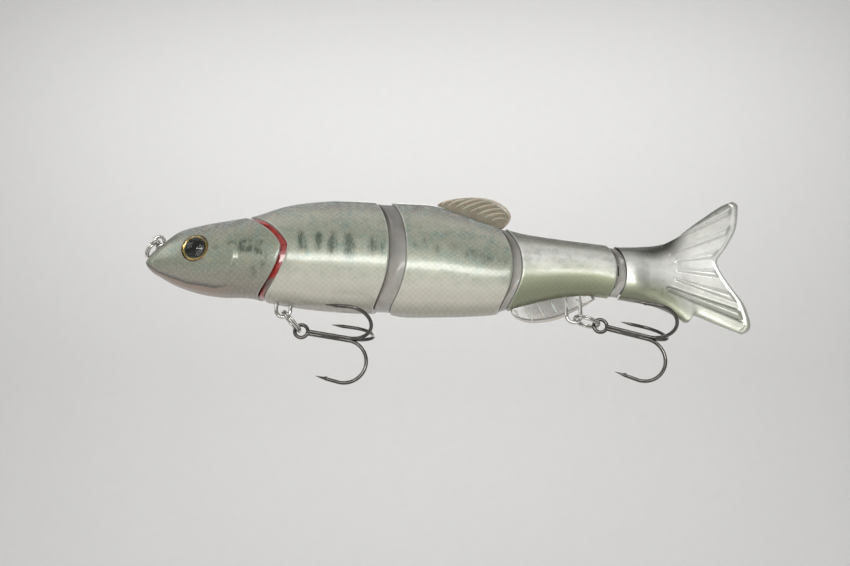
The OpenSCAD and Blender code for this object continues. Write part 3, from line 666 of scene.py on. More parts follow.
# section, paint, front edge and its sweep, joint at the rear, rows along it
sectionSkins = [
    ("head", "head", skin["tip"], straightEdge, "gill", 96),
    ("front", "flank", "gill", None, "front", 44),
    ("mid", "flank", "front", None, "mid", 44),
    ("rear", "satin", "mid", None, "tail", 40),
]
bodyOf = {"head": "head", "front": "front_section", "mid": "mid_section", "rear": "rear_section"}
for section, finishName, front, frontSweep, rear, alongRows in sectionSkins:
    isHead = section == "head"
    rearJoint = joints[rear]
    if not isHead:
        frontSweep = joints[front]["sweep"]
        front = joints[front]["rim"] + joints[front]["gap"]
    for side, word in ((-1, "left"), (1, "right")):
        name = f"{section}Skin{word.capitalize()}"
        rearEdge = rearJoint["rim"], rearJoint["sweep"]
        piece = skinHalf(name, front, frontSweep, *rearEdge, alongRows, side, isHead)
        if isHead:
            cutWith(piece, [eyeSocket(side)])
        dress(piece, paint[finishName])
        slot = "satin_silver" if section == "rear" else "painted_flank"
        hold(piece, bodyOf[section], slot, f"{section}_shell_{word}")
print("skins made")

# eyes
eye = {"rimDip": 0.04, "dish": 0.16, "irisRows": 40, "domeRows": 28}
for side, word in ((-1, "left"), (1, "right")):
    place = eyePlace(side)
    top = skin["irisT"] - skin["eyeSeat"]
    share = np.linspace(0, 1, eye["irisRows"])
    profile = [(0, -skin["eyeSeat"]), (skin["eyeR"], -skin["eyeSeat"])]
    profile += [(skin["eyeR"] * s, top - eye["rimDip"] - eye["dish"] * (1 - s) ** 0.7) for s in share[::-1]]
    iris = lathe(f"iris{word.capitalize()}", profile, place, {"ring": [1, 1] + list(share[::-1])})
    dress(iris, finish["iris"])
    hold(iris, "head", "iris_foil", f"eye_iris_{word}")
    domeR = (skin["eyeR"] ** 2 + skin["domeH"] ** 2) / (2 * skin["domeH"])
    edge = math.asin(skin["eyeR"] / domeR)
    bend = np.linspace(edge, 0, eye["domeRows"])
    profile = [(0, top), (skin["eyeR"], top)]
    profile += [(domeR * math.sin(b), top + skin["domeH"] - domeR + domeR * math.cos(b)) for b in bend]
    dome = lathe(f"eyeDome{word.capitalize()}", profile, place)
    dress(dome, finish["dome"])
    hold(dome, "head", "eye_dome", f"eye_lens_{word}")
print("eyes made")

# hinge noses
nose = {
    "ribs": 91, "rows": 26, "slotGap": 0.35, "tongueT": 2, "circleSteps": 24,
    "plugDepth": 0.8, "boreGap": 0.025, "boreReach": 20, "slotReach": 4,
}


def rimReach(joint, inset, angles):
    p = skinPoint(edgeX(joint["rim"], joint["sweep"], angles), angles, inset)
    return p[:, 2], np.hypot(p[:, 0] - joint["pin"], p[:, 1]) - body["swingGap"]


def barrel(joint, z):  # largest radius about the pin that turns inside the section in front, at each height
    angles = np.linspace(-90, 90, nose["ribs"])
    outerZ, outerR = rimReach(joint, 0, angles)
    innerZ, innerR = rimReach(joint, body["wall"], angles)
    return np.interp(z, outerZ, np.minimum(outerR, np.interp(outerZ, innerZ, innerR)))


def noseSurface(joint):  # rows of points on the +Y flank, from the front of the nose to its plug
    angles = np.linspace(-90, 90, nose["ribs"])
    end = edgeX(joint["rim"] + joint["gap"] - body["plugGap"], joint["sweep"], angles)
    r = barrel(joint, skinPoint(joint["pin"], angles, body["noseInset"])[:, 2])
    front = joint["pin"] - np.sqrt(r**2 - body["noseFlat"]**2)
    rows = []
    for share in 1 - np.cos(np.linspace(0, math.pi / 2, nose["rows"])):
        p = skinPoint(front * (1 - share) + end * share, angles, body["noseInset"])
        r = barrel(joint, p[:, 2])
        p[:, 1] = np.minimum(p[:, 1], np.sqrt(np.maximum(r**2 - (p[:, 0] - joint["pin"]) ** 2, 0)))
        rows.append(p)
    for depth in (0, nose["plugDepth"]):
        rows.append(skinPoint(end + depth, angles, body["wall"] + body["plugGap"]))
    return np.array(rows)


def closedLoops(rows):  # both flanks of each row as one closed surface with flat ends
    n, m = rows.shape[:2]
    mirrored = rows[:, ::-1] * (1, -1, 1)
    loops = np.concatenate([rows, mirrored], 1)
    faces = gridFaces(n, 2 * m, closedColumns=True)
    for row in (0, n - 1):  # the ends close with strips between the flanks
        start = row * 2 * m
        faces += [(start + j, start + j + 1, start + 2 * m - 2 - j, start + 2 * m - 1 - j) for j in range(m - 1)]
    return loops.reshape(-1, 3), faces


def hingeCutters(joint):  # the room for the tongue and the bore for the pin
    half = joint["tongue"] / 2 + nose["slotGap"]
    far = joint["pin"] - joint["rim"] + joint["sweep"][0] + nose["slotReach"]
    side = far * math.tan(math.radians(joint["swing"])) + half
    middle = middleZ(joint["pin"])
    reach = nose["tongueT"] / 2 + nose["slotGap"]
    arc = np.linspace(-math.pi / 2, math.pi / 2, nose["circleSteps"])
    outline = [(joint["pin"] + half * math.cos(t), half * math.sin(t)) for t in arc]
    outline += [(joint["pin"] - far, side), (joint["pin"] - far, -side)]
    slot = prism(outline, middle - reach, middle + reach)
    turn = np.linspace(0, 2 * math.pi, 2 * nose["circleSteps"], endpoint=False)
    hole = joint["pinR"] + nose["boreGap"]
    circle = [(joint["pin"] + hole * math.cos(t), hole * math.sin(t)) for t in turn]
    return [slot, prism(circle, -nose["boreReach"], nose["boreReach"])]


def makeNose(name, joint, material, numbers=None):
    rows = noseSurface(joint)
    verts, faces = closedLoops(rows)
    values = {key: rule(verts) for key, rule in (numbers or {}).items()}
    piece = pieceFromData(name, toRow(verts), faces, None, values)
    cutWith(piece, hingeCutters(joint))
    dress(piece, material)
    return piece


def smoothStep(value, low, high):
    t = np.clip((value - low) / (high - low), 0, 1)
    return t * t * (3 - 2 * t)


# painted shade at the top of the red band, which lies recessed under the head's rim
gillRed = makeNose("redGillNose", joints["gill"], finish["red"], {
    "soot": lambda v: 0.9 * smoothStep(v[:, 2], 8.8, 11.5),
    "bareness": lambda v: smoothStep(-v[:, 2], 6.2, 7.4) * smoothStep(v[:, 0], 31.5, 34.5) * 0.9})
hold(gillRed, "front_section", "red_nose", "gill_hinge_block")


def shade(v):  # painted shade: darker towards the back
    return 0.85 * smoothStep((v[:, 2] - bellyZ(v[:, 0])) / (backZ(v[:, 0]) - bellyZ(v[:, 0])), 0.25, 1.0)


for word, bodyName in (("front", "mid_section"), ("mid", "rear_section"), ("tail", "tail_section")):
    piece = makeNose(f"bare{word.capitalize()}Nose", joints[word], finish["bare"], {"shade": shade})
    nodes = [f"{word}_hinge_block"] if word != "tail" else []    # the CAD's tail holds its own nose
    hold(piece, bodyName, "bare_nose", *nodes)
print("hinge noses made")

# tail
tail = {
    "rows": 180, "columns": 201,
    "top": [
        (130.8, 3.45), (134.5, 3.4), (139.6, 3.75), (144.3, 5.5), (151.3, 10.6), (158.3, 15.4),
        (162.0, 17.1)],
    "bottom": [
        (130.8, -12.0), (136.6, -12.6), (141.5, -14.6), (144.6, -16.7), (146.3, -17.8), (147.0, -16.5),
        (148.0, -15.75), (149.6, -16.2), (155.2, -18.8), (161.0, -21.3)],
    "trailing": [
        (161.0, -21.3), (162.7, -20.5), (163.5, -19.0), (163.2, -15.9), (162.1, -12.4), (159.2, -7.7),
        (157.0, -3.6), (156.2, -0.8), (157.2, 0.9), (159.0, 3.2), (162.3, 8.8), (163.5, 14.6),
        (163.45, 16.2), (162.0, 17.1)],
    "thick": [
        (130.8, 3.9), (134.2, 3.1), (137.6, 2.5), (141, 2.0), (144.9, 1.55), (149, 1.15), (156, 0.85),
        (161, 0.65), (165, 0.5)],
    "rayHeight": 0.55, "rimHeight": 0.14, "least": 0.02,
}
# raised rays of the tail: start x, z and end x, z, half width at the start and the end
tailRays = [
    (141.2, 3.5, 163.4, 15.0, 0.35, 1.15), (143.6, 1.2, 163.2, 9.6, 0.4, 1.55),
    (144.9, -1.0, 157.6, 1.6, 0.45, 1.3), (145.1, -3.5, 157.0, -4.4, 0.45, 1.3),
    (144.4, -6.2, 162.4, -11.9, 0.4, 1.5), (142.4, -8.9, 163.8, -17.2, 0.35, 1.2)]


def alongPoints(points, count):  # evenly spaced points on a smooth line through the given ones
    p = np.array(points, float)
    walk = np.concatenate([[0], np.cumsum(np.hypot(*np.diff(p, axis=0).T))])
    fine = np.linspace(0, walk[-1], 600)
    q = np.stack([smoothCurve(np.stack([walk, p[:, k]], 1), fine) for k in (0, 1)], -1)
    walk = np.concatenate([[0], np.cumsum(np.hypot(*np.diff(q, axis=0).T))])
    even = np.linspace(0, walk[-1], count)
    return np.stack([np.interp(even, walk, q[:, k]) for k in (0, 1)], -1)


def patch(start, end, low, high):  # a surface between four edges that meet at their corners
    s = np.linspace(0, 1, len(low))[:, None, None]
    t = np.linspace(0, 1, len(start))[None, :, None]
    ends = (1 - s) * ((1 - t) * start[0] + t * start[-1]) + s * ((1 - t) * end[0] + t * end[-1])
    return (1 - t) * low[:, None] + t * high[:, None] + (1 - s) * start[None] + s * end[None] - ends


def plateFaces(n, m):  # two grids of n by m points, joined round their edge
    grid = gridFaces(n, m)
    other = [tuple(i + n * m for i in f[::-1]) for f in grid]
    border = list(range(m)) + [i * m + m - 1 for i in range(1, n)]
    border += [(n - 1) * m + j for j in range(m - 2, -1, -1)] + [i * m for i in range(n - 2, 0, -1)]
    wall = [(a, a + n * m, b + n * m, b) for a, b in zip(border, border[1:] + border[:1])]
    return grid + other + wall


angles = np.degrees(np.linspace(-math.pi / 2, math.pi / 2, tail["columns"]))
rimLine = edgeX(joints["tail"]["rim"] + joints["tail"]["gap"], joints["tail"]["sweep"], angles)
startRow = skinPoint(rimLine, angles)
topLine = alongPoints([tuple(startRow[-1, [0, 2]])] + tail["top"][1:], tail["rows"])
bottomLine = alongPoints([tuple(startRow[0, [0, 2]])] + tail["bottom"][1:], tail["rows"])
trailing = alongPoints(tail["trailing"], tail["columns"])
sheet = patch(startRow[:, [0, 2]], trailing, bottomLine, topLine)
across = np.abs(np.linspace(-1, 1, tail["columns"]))[None, :]
share = np.linspace(0, 1, tail["rows"])[:, None]
thick = smoothCurve(tail["thick"], sheet[..., 0])
power = 2.3 + 3.7 * smoothStep(sheet[..., 0], 133, 150)
startShape = startRow[:, 1][None, :]
finShape = thick * np.maximum(1 - across**power, 0) ** (1 / power)
y = startShape * (1 - smoothStep(share, 0, 0.22)) + finShape * smoothStep(share, 0, 0.22)
y = y * np.maximum(1 - smoothStep(share, 0.965, 1.02) ** 2, 0.2)
rays = np.zeros_like(y)
for x0, z0, x1, z1, w0, w1 in tailRays:
    length = math.hypot(x1 - x0, z1 - z0)
    ux, uz = (x1 - x0) / length, (z1 - z0) / length
    reach = (sheet[..., 0] - x0) * ux + (sheet[..., 1] - z0) * uz
    off = np.abs(-(sheet[..., 0] - x0) * uz + (sheet[..., 1] - z0) * ux)
    width = w0 + (w1 - w0) * np.clip(reach / length, 0, 1)
    off = np.hypot(off, np.minimum(reach, 0))
    crown = 0.35 * smoothStep(off, 0.2 * width, width - 0.2)
    rays = np.maximum(rays, 1 - crown - 0.65 * smoothStep(off, width - 0.42, width + 0.1))
    rays -= 0.35 * hump(off - width - 0.26, 0.24) * (reach > -1)
inFin = 1 - smoothStep(share, 0.915, 0.95)
border = smoothStep(share, 0.95, 0.965) * (1 - smoothStep(share, 0.985, 1.0)) * (across < 0.985)
raised = tail["rayHeight"] * rays * inFin * smoothStep(thick, 0.2, 0.5) + tail["rimHeight"] * border
y = np.maximum(y + raised, tail["least"])
flank = np.stack([sheet[..., 0], y, sheet[..., 1]], -1)
both = np.concatenate([flank.reshape(-1, 3), flank.reshape(-1, 3) * (1, -1, 1)])
tone = (np.linspace(-1, 1, tail["columns"]) + 1) / 2 * np.ones_like(y)
inBlade = smoothStep(sheet[..., 0], 138, 149)
# painted shade: a dark line along the blade's upper edge
topEdgeShade = inBlade * hump(1 - tone, 0.035)
# painted highlight: the blade's tones are drawn towards the bright middle of the tail ramp
tone = np.tile((tone * (1 - inBlade) + (0.54 + (tone - 0.54) * 0.30) * inBlade).ravel(), 2)
# painted highlight: a pale line along the trailing edge
rim = np.tile((0.35 * hump(1 - share, 0.015) * np.ones_like(y)).ravel(), 2)
# painted shade in the channels beside the rays and along the blade's upper edge
soot = np.tile(np.clip(1.9 * np.clip(-rays, 0, 0.5) * inFin + 0.75 * topEdgeShade, 0, 1).ravel(), 2)
none = np.zeros(len(both))
numbers = {"tone": tone, "spots": none, "rim": rim, "soot": soot, "blush": none}
tailFin = pieceFromData("forkedTail", toRow(both), plateFaces(tail["rows"], tail["columns"]), None, numbers)
dress(tailFin, paint["tail"])
hold(tailFin, "tail_section", "satin_silver", "tail")
print("tail made")

# Geometry Nodes trees
class Tree(Nodes):
    def __init__(self, name, sizes):
        self.tree = bpy.data.node_groups.new(name, "GeometryNodeTree")
        face = self.tree.interface
        face.new_socket("Geometry", in_out="INPUT", socket_type="NodeSocketGeometry")
        for label, value in sizes.items():
            kind = "NodeSocketInt" if isinstance(value, int) else "NodeSocketFloat"
            face.new_socket(label, in_out="INPUT", socket_type=kind).default_value = value
        face.new_socket("Material", in_out="INPUT", socket_type="NodeSocketMaterial")
        face.new_socket("Geometry", in_out="OUTPUT", socket_type="NodeSocketGeometry")
        self.given = self.tree.nodes.new("NodeGroupInput").outputs

    def vector(self, x=0.0, y=0.0, z=0.0):
        return self.node("ShaderNodeCombineXYZ", {0: x, 1: y, 2: z}).outputs[0]

    def share(self, count):  # 0 at the first point and 1 at the last
        return self.over(self.node("GeometryNodeInputIndex").outputs[0], self.minus(count, 1))

    def swell(self, share, end, power):  # 1 in the middle, less towards both ends
        angle = self.times(self.add(self.times(share, 1 - 2 * end), end), math.pi)
        return self.maths("POWER", self.sine(angle), power)

    def curve(self, count, position):  # a line of points, each put at its own place
        line = {"Curve": self.node("GeometryNodeCurvePrimitiveLine").outputs[0], "Count": count}
        points = self.node("GeometryNodeResampleCurve", line).outputs[0]
        return self.node("GeometryNodeSetPosition", {"Geometry": points, "Position": position}).outputs[0]

    def tube(self, curve, radius, sides):
        circle = {"Resolution": sides, "Radius": 1.0}
        outline = self.node("GeometryNodeCurvePrimitiveCircle", circle).outputs[0]
        inputs = {"Curve": curve, "Profile Curve": outline, "Scale": radius, "Fill Caps": True}
        return self.node("GeometryNodeCurveToMesh", inputs).outputs[0]

    def turned(self, axis, angle):
        return self.node("FunctionNodeAxisAngleToRotation", {"Axis": axis, "Angle": angle}).outputs[0]

    def join(self, *parts):
        return self.node("GeometryNodeJoinGeometry", {"Geometry": list(parts)}).outputs[0]

    def finish(self, geometry):
        solid = self.node("GeometryNodeRealizeInstances", {"Geometry": geometry}).outputs[0]
        dressed = {"Geometry": solid, "Material": self.given["Material"]}
        made = self.node("GeometryNodeSetMaterial", dressed).outputs[0]
        self.tree.links.new(made, self.tree.nodes.new("NodeGroupOutput").inputs[0])
        return self.tree


# runs a tree and keeps its result as a plain mesh
def grow(name, group, sizes, material, place=None, seeds=None):
    start = bpy.data.meshes.new(name + "Start")
    if seeds:
        start.from_pydata([tuple(v) for v in seeds.pop("points")], [], [])
        for key, values in seeds.items():
            layer = start.attributes.new(key, "FLOAT", "POINT")
            layer.data.foreach_set("value", np.asarray(values, np.float32))
    piece = linked(name, start)
    run = piece.modifiers.new("grow", "NODES")
    run.node_group = group
    sockets = {s.name: s.identifier for s in group.interface.items_tree if s.in_out == "INPUT"}
    for label, value in {**sizes, "Material": material}.items():
        run[sockets[label]] = value
    bpy.context.view_layer.update()
    done = evaluated(piece)
    piece.modifiers.clear()
    piece.data = done
    if place is not None:
        done.transform(place)
    closeMesh(done)
    return piece


def splitRingTree():  # two flat turns of wire, side by side, with a short step between them
    t = Tree("splitRing", {"Ring Radius": 0.0035, "Wire Radius": 0.0003, "Turn Gap": 0.0006, "Step Angle": 0.9,
                           "Open Angle": 0.12, "Points": 241, "Sides": 18})
    g = t.given
    way = t.times(t.share(g["Points"]), t.minus(4 * math.pi, g["Open Angle"]))
    angle = t.add(way, t.times(g["Open Angle"], 0.5))
    reach = t.times(g["Step Angle"], 0.5)
    past = t.minus(angle, 2 * math.pi)
    step = t.span(past, t.times(reach, -1), reach, -0.5, 0.5, interpolation_type="SMOOTHSTEP")
    place = t.vector(t.times(t.cosine(angle), g["Ring Radius"]), t.times(t.sine(angle), g["Ring Radius"]),
                     t.times(step, g["Turn Gap"]))
    return t.finish(t.tube(t.curve(g["Points"], place), g["Wire Radius"], g["Sides"]))


def trebleTree():  # three wires brazed along a shank, each bent round to a barbed point
    t = Tree("trebleHook", {
        "Wire Radius": 0.0005, "Eye Radius": 0.00175, "Shank Length": 0.013, "Wire Offset": 0.00042,
        "Bend Radius": 0.0058, "Point Rise": 0.105, "Point Length": 0.0063, "Taper Length": 0.0034,
        "Tip Radius": 0.00004, "Barb Length": 0.0015, "Barb Lean": 0.36, "Prongs": 3, "Points": 181,
        "Wire Sides": 20, "Barb Points": 12, "Braze Points": 40, "Braze Swell": 1.45, "Eye Points": 73})
    g = t.given
    wireR, bendR, shank, eyeR = g["Wire Radius"], g["Bend Radius"], g["Shank Length"], g["Eye Radius"]
    endAngle = t.add(math.pi, g["Point Rise"])
    arc = t.times(endAngle, bendR)
    straight = t.minus(shank, eyeR)
    total = t.add(straight, arc, g["Point Length"])

    def onPoint(x, angle, past):  # a place on the bend at an angle, then straight past it
        drop = t.add(g["Wire Offset"], t.times(past, t.sine(angle)))
        z = t.minus(t.times(t.minus(t.cosine(angle), 1), bendR), drop)
        return t.add(x, t.times(t.sine(angle), bendR), t.times(past, t.cosine(angle))), z

    way = t.times(t.share(g["Points"]), total)
    bent = t.minus(way, straight)
    angle = t.over(t.least(t.most(bent, 0), arc), bendR)
    x, z = onPoint(t.least(t.add(way, eyeR), shank), angle, t.most(t.minus(bent, arc), 0))
    taper = t.times(t.over(t.minus(total, way), g["Taper Length"]), wireR)
    radius = t.least(wireR, t.add(g["Tip Radius"], taper))
    wire = t.tube(t.curve(g["Points"], t.vector(x, 0.0, z)), radius, g["Wire Sides"])
    # the barb is a short tapered spur that leans away from the point, on the side of the shank
    x, z = onPoint(shank, endAngle, t.minus(g["Point Length"], t.times(g["Taper Length"], 0.92)))
    spur = t.share(g["Barb Points"])
    along = t.minus(t.times(spur, t.cosine(g["Barb Lean"])), 0.75)
    out = t.times(spur, t.sine(g["Barb Lean"]), g["Barb Length"], 1.3)
    place = t.vector(t.add(x, t.times(along, g["Barb Length"])), 0.0, t.add(z, t.times(wireR, 0.25), out))
    barb = t.tube(t.curve(g["Barb Points"], place), t.times(t.minus(1.06, spur), wireR, 0.5), 12)
    around = t.node("GeometryNodePoints", {"Count": g["Prongs"]}).outputs[0]
    turn = t.over(t.times(t.node("GeometryNodeInputIndex").outputs[0], 2 * math.pi), g["Prongs"])
    prongs = t.node("GeometryNodeInstanceOnPoints", {
        "Points": around, "Instance": t.join(wire, barb), "Rotation": t.turned((1, 0, 0), turn)}).outputs[0]
    # braze: a swollen core that fills the middle of the three wires
    braze = t.share(g["Braze Points"])
    line = t.curve(g["Braze Points"], t.vector(t.add(eyeR, t.times(braze, straight, 1.12)), 0.0, 0.0))
    core = t.tube(line, t.times(t.swell(braze, 0.02, 0.35), wireR, g["Braze Swell"]), 24)
    angle = t.times(t.share(g["Eye Points"]), 2 * math.pi)
    place = t.vector(t.times(t.cosine(angle), eyeR), 0.0, t.times(t.sine(angle), eyeR))
    loop = t.curve(g["Eye Points"], place)
    return t.finish(t.join(prongs, core, t.tube(loop, wireR, g["Wire Sides"])))


def ribTree():  # curved ribs that stand on points, each with its own turn, length and thickness
    t = Tree("finRibs", {"Rib Bend": 0.18, "Rib Flatness": 0.8, "Rib Radius": 0.04, "Points": 25})
    g = t.given
    share = t.share(g["Points"])
    path = t.curve(g["Points"], t.vector(share, 0.0, t.times(share, t.minus(1, share), g["Rib Bend"])))
    rib = t.tube(path, t.times(t.swell(share, 0.03, 0.4), g["Rib Radius"]), 12)

    def own(name):
        return t.node("GeometryNodeInputNamedAttribute", {"Name": name}, data_type="FLOAT").outputs[0]
    size = t.vector(own("ribLength"), t.times(own("ribWidth"), g["Rib Flatness"]), own("ribWidth"))
    points = t.node("GeometryNodeMeshToPoints", {"Mesh": g["Geometry"]}).outputs[0]
    turn = t.turned((0, 1, 0), own("ribTurn"))
    inputs = {"Points": points, "Instance": rib, "Rotation": turn, "Scale": size}
    return t.finish(t.node("GeometryNodeInstanceOnPoints", inputs).outputs[0])


ringGroup, hookGroup, ribGroup = splitRingTree(), trebleTree(), ribTree()
print("node trees made")

# fins
fins = {
    "backFin": {
        "root": [(79.6, 15.2), (84, 13.8), (88, 12.3), (92, 10.7), (96.6, 8.9)],
        "edge": [
            (79.9, 16.6), (80.9, 17.2), (82.8, 17.9), (86.3, 18.65), (90.4, 18.9), (94.6, 18.3),
            (97.9, 16.7), (99.9, 14.6), (100.3, 12.9), (99.6, 11.1), (98.2, 9.6)],
        "thick": (0.7, 0.34), "rows": 44, "columns": 90, "lip": 0.16,
        "ribs": [
            (81.0, 16.2, 84.4, 17.6), (82.5, 15.8, 88.0, 18.0), (84.3, 15.2, 91.3, 18.0),
            (86.2, 14.6, 94.0, 17.5), (88.2, 13.8, 96.3, 16.5), (90.2, 13.0, 97.9, 15.2),
            (92.3, 12.2, 98.9, 13.7), (94.4, 11.3, 99.2, 12.0)],
        "ribSize": 11.5, "bend": 0.18, "flatness": 2.064,
    },
    "bellyFin": {
        "root": [(99.4, -13.1), (103, -12.2), (108, -11.0), (114, -9.9), (121.2, -9.6)],
        "edge": [
            (99.4, -14.6), (99.9, -15.7), (101.5, -16.9), (104.5, -17.75), (108.9, -17.5),
            (112.4, -16.6), (115.4, -15.1), (118.4, -13.6), (120.6, -12.4), (122.4, -11.2)],
        "thick": (0.52, 0.28), "rows": 40, "columns": 90, "lip": 0.1,
        "ribs": [
            (100.2, -13.9, 101.6, -15.9), (103.0, -13.0, 105.3, -17.2), (106.5, -12.2, 108.5, -16.4),
            (110.2, -11.6, 111.9, -15.2), (113.9, -11.1, 115.1, -13.8), (117.2, -10.9, 118.2, -12.6)],
        "ribSize": 10, "bend": -0.036, "flatness": 2.16,
    },
}


def makeFin(name, material, bodyName, node):
    f = fins[name]
    rows, columns = f["rows"], f["columns"]
    root, edge = alongPoints(f["root"], columns), alongPoints(f["edge"], columns)
    s = np.linspace(0, 1, rows)[:, None]
    plan = root[None] * (1 - s[..., None]) + edge[None] * s[..., None]
    lift = (f["thick"][0] * (1 - s) + f["thick"][1] * s) * np.ones((1, columns))
    fromEnds = np.minimum(np.linspace(0, 1, columns), np.linspace(1, 0, columns))[None]
    rounding = np.sqrt(np.clip(1 - smoothStep(s, 0.93, 1.0) ** 2, 0.02, 1))
    rounding = rounding * np.sqrt(np.clip(smoothStep(fromEnds, -0.01, 0.03), 0.05, 1))
    lift = lift * rounding + f["lip"] * smoothStep(s, 0.86, 0.92) * (1 - smoothStep(s, 0.95, 1))
    flank = np.stack([plan[..., 0], lift, plan[..., 1]], -1).reshape(-1, 3)
    both = np.concatenate([flank, flank * (1, -1, 1)])
    bright = np.tile((smoothStep(s, 0.86, 0.97) * np.ones((1, columns))).ravel(), 2)
    blade = pieceFromData(name, toRow(both), plateFaces(rows, columns), None, {"edge": bright})
    dress(blade, finish[material + "Blade"])
    hold(blade, bodyName, "fin_moulding", node)
    ribs = f["ribs"]
    points = toRow([(x0, 0, z0) for x0, z0, x1, z1 in ribs])
    lengths = [math.hypot(x1 - x0, z1 - z0) * mm for x0, z0, x1, z1 in ribs]
    turns = [-math.atan2(z1 - z0, x1 - x0) for x0, z0, x1, z1 in ribs]
    widths = [f["ribSize"] * mm] * len(ribs)
    seeds = {"points": points, "ribTurn": turns, "ribLength": lengths, "ribWidth": widths}
    sizes = {"Rib Bend": f["bend"], "Rib Flatness": f["flatness"]}
    ribPiece = grow(name + "Ribs", ribGroup, sizes, finish[material + "Ribs"], None, seeds)
    hold(ribPiece, bodyName, "fin_moulding")


makeFin("backFin", "creamFin", "mid_section", "dorsal_fin")
makeFin("bellyFin", "frostedFin", "rear_section", "anal_fin")
print("fins made")

# wires, rings and hooks
wires = {
    "wireR": 0.53, "sides": 28, "eyeletR": 1.35, "stemTilt": 24, "stemLength": 9.1, "hangerR": 1.9, "legIn": 5,
    "ringPlay": 0.1, "ringSeat": 1.29, "ringR": 3.5, "tieRingR": 2.6, "eyeHang": 0.35,
    "frontHanger": (joints["gill"]["pin"], 3.4), "rearHanger": (joints["mid"]["rim"] + 16.5, 7.2),  # x, drop
    "ringWireR": 0.3, "hookWireR": 0.49,
    "tieTilt": -124, "frontRingTilt": -48, "rearRingTilt": -18, "frontHookTilt": -10, "rearHookTilt": -15,
}


def towards(tilt):
    return np.array([math.cos(math.radians(tilt)), 0, math.sin(math.radians(tilt))])


def placed(point, tilt):  # puts a piece's X axis on a line that starts at point and tilts down
    return Matrix.Translation(Vector(toRow(point))) @ Matrix.Rotation(-math.radians(tilt), 4, "Y")


def wirePiece(name, points, material):
    verts, faces = sweepTube(points, wires["wireR"], wires["sides"])
    piece = pieceFromData(name, toRow(verts), faces)
    dress(piece, material)
    return piece


centre = np.array(body["tieEye"])
stemWay = towards(-wires["stemTilt"])
normal = np.array([-stemWay[2], 0, stemWay[0]])
r = wires["eyeletR"]
loopAngles = np.radians(np.linspace(34, 346, 80))
loop = [centre + r * (math.cos(a) * stemWay + math.sin(a) * normal) for a in loopAngles]
stem = [centre + stemWay * d for d in np.linspace(wires["stemLength"], r + 1.1, 14)]
corner, first = centre + stemWay * (r + 0.28), loop[0]
shares = np.linspace(0, 1, 16)[1:-1]
bend = [(1 - t) ** 2 * stem[-1] + 2 * t * (1 - t) * corner + t * t * first for t in shares]
eyelet = wirePiece("lineTieEyelet", stem + bend + loop, finish["nickel"])
hold(eyelet, "head", "steel_wire", "line_tie_eyelet")

hangerZ = {}
for word in ("front", "rear"):
    x, drop = wires[f"{word}Hanger"]
    low = float(bellyZ(x)) - drop
    top = float(bellyZ(x)) + wires["legIn"]
    r = wires["hangerR"]
    leg = np.linspace(top, low + r, 30)
    points = [(x - r, 0, z) for z in leg]
    points += [(x - r * math.cos(a), 0, low + r - r * math.sin(a)) for a in np.linspace(0, math.pi, 60)[1:-1]]
    points += [(x + r, 0, z) for z in leg[::-1]]
    hangerZ[word] = low
    hanger = wirePiece(f"{word}HookHanger", points, finish["nickel"])
    hold(hanger, f"{word}_section", "steel_wire", f"{word}_hook_hanger")

ringSizes = {"Wire Radius": wires["ringWireR"] * mm, "Turn Gap": 2 * wires["ringWireR"] * mm}
tieTilt = wires["tieTilt"]
near = centre + wires["ringPlay"] * towards(tieTilt)
sizes = {**ringSizes, "Ring Radius": wires["tieRingR"] * mm}
place = placed(near + wires["tieRingR"] * towards(tieTilt), tieTilt)
tieRing = grow("tieSplitRing", ringGroup, sizes, finish["nickel"], place)
hold(tieRing, "nose_ring", "steel_wire", "line_tie_ring")
for word in ("front", "rear"):
    ringTilt, hookTilt = wires[f"{word}RingTilt"], wires[f"{word}HookTilt"]
    near = np.array([wires[f"{word}Hanger"][0], 0, hangerZ[word] + wires["ringSeat"]])
    sizes = {**ringSizes, "Ring Radius": wires["ringR"] * mm}
    place = placed(near + wires["ringR"] * towards(ringTilt), ringTilt)
    ring = grow(f"{word}SplitRing", ringGroup, sizes, finish["nickel"], place)
    hold(ring, f"{word}_ring", "steel_wire", f"{word}_hook_ring")
    pivot = near + 2 * wires["ringR"] * towards(ringTilt) + wires["eyeHang"] * towards(hookTilt)
    sizes = {"Wire Radius": wires["hookWireR"] * mm}
    hook = grow(f"{word}TrebleHook", hookGroup, sizes, finish["blackNickel"], placed(pivot, hookTilt))
    hold(hook, f"{word}_hook", "hook_wire", f"{word}_treble_hook")
print("wires, rings and hooks made")

# CAD pieces that stay
kept = {"nylon": ["gill_tongue", "front_tongue", "mid_tongue", "tail_tongue"],
        "nickel": ["gill_pin", "front_pin", "mid_pin", "tail_pin"], "lead": ["belly_weight", "mid_weight"]}
for finishName, names in kept.items():
    for nodeName in names:
        dress(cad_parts[nodeName], finish[finishName])

# room
room = {
    "floorZ": -0.125, "floorSize": 3.0, "bendR": 0.4, "wallY": 1.3, "wallTop": 1.6, "bendSteps": 16,
    "floorDark": (0.79, 0.785, 0.775), "floorLight": (0.80, 0.795, 0.785),
    "air": (0.90, 0.90, 0.89, 1), "airStrength": 0.38,
    "lens": 42.44, "sensor": 36, "nearest": 0.01, "camera": (0.0733, -0.2596, -0.0969), "up": 108, "roll": -0.3,
}


def floorMaterial():
    s = Shader("paleFloor")
    s.colour(s.ramp(s.noise(60, 2), [(0.35, room["floorDark"]), (0.65, room["floorLight"])]))
    s.set(Roughness=0.6)
    return s.material


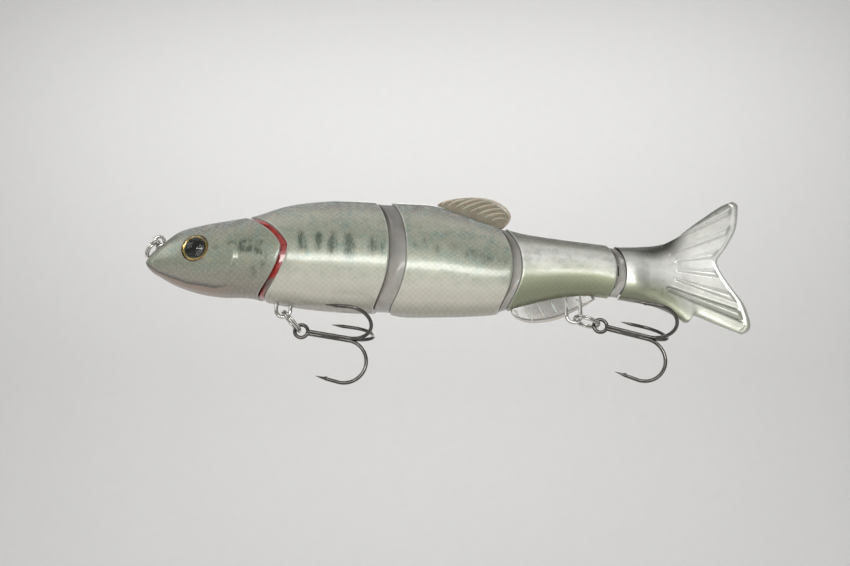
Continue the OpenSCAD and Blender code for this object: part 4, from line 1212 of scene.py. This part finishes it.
half, bendR, wallY = room["floorSize"] / 2, room["bendR"], room["wallY"]
bends = np.linspace(0.1, math.pi / 2, room["bendSteps"])
sweep = [(-half, 0.0), (wallY - bendR, 0.0)]
sweep += [(wallY - bendR + bendR * math.sin(a), bendR - bendR * math.cos(a)) for a in bends]
sweep.append((wallY, room["wallTop"]))
verts = [(x, y, room["floorZ"] + z) for y, z in sweep for x in (-half, half)]
floor = pieceFromData("floor", verts, gridFaces(len(sweep), 2))
dress(floor, floorMaterial())
floor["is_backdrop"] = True

world = bpy.data.worlds.new("studio")
bpy.context.scene.world = world
world.use_nodes = True
background = world.node_tree.nodes["Background"].inputs
background["Color"].default_value = room["air"]
background["Strength"].default_value = room["airStrength"]
bpy.context.scene.view_settings.view_transform = "Standard"


def softbox(name, place, target, size, power, tint=(1, 1, 1)):
    light = bpy.data.lights.new(name, "AREA")
    light.shape = "RECTANGLE"
    light.size, light.size_y = size
    light.energy = power
    light.color = tint
    lamp = linked(name, light)
    lamp.location = place
    lamp.rotation_euler = (Vector(target) - Vector(place)).to_track_quat("-Z", "Y").to_euler()


# place, target, size, watts and tint
softboxes = {
    "key": ((0.10, -0.95, 0.105), (0.08, 0, 0), (0.68, 0.13), 3.5, (1, 0.99, 0.97)),
    "topFill": ((0.06, -0.10, 0.90), (0.07, 0, 0), (1.4, 1.0), 3.2),
    "sideFill": ((-0.55, -0.35, 0.35), (0.05, 0, 0), (0.4, 0.4), 0.9),
    "backFill": ((0.25, 0.55, 0.35), (0.08, 0, 0), (0.5, 0.4), 0.8),
    "wallWash": ((0.07, 0.75, 0.9), (0.07, 1.3, 0.25), (1.6, 0.3), 4.0),
}
for name, setting in softboxes.items():
    softbox(name, *setting)

eyeLens = bpy.data.cameras.new("camera")
eyeLens.lens = room["lens"]
eyeLens.sensor_width = room["sensor"]
eyeLens.clip_start = room["nearest"]
camera = linked("camera", eyeLens)
roll = Matrix.Rotation(math.radians(room["roll"]), 4, "Z")
facing = Matrix.Rotation(math.radians(room["up"]), 4, "X") @ roll
camera.matrix_world = Matrix.Translation(Vector(room["camera"])) @ facing
bpy.context.scene.camera = camera
print("room lit")

low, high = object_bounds()
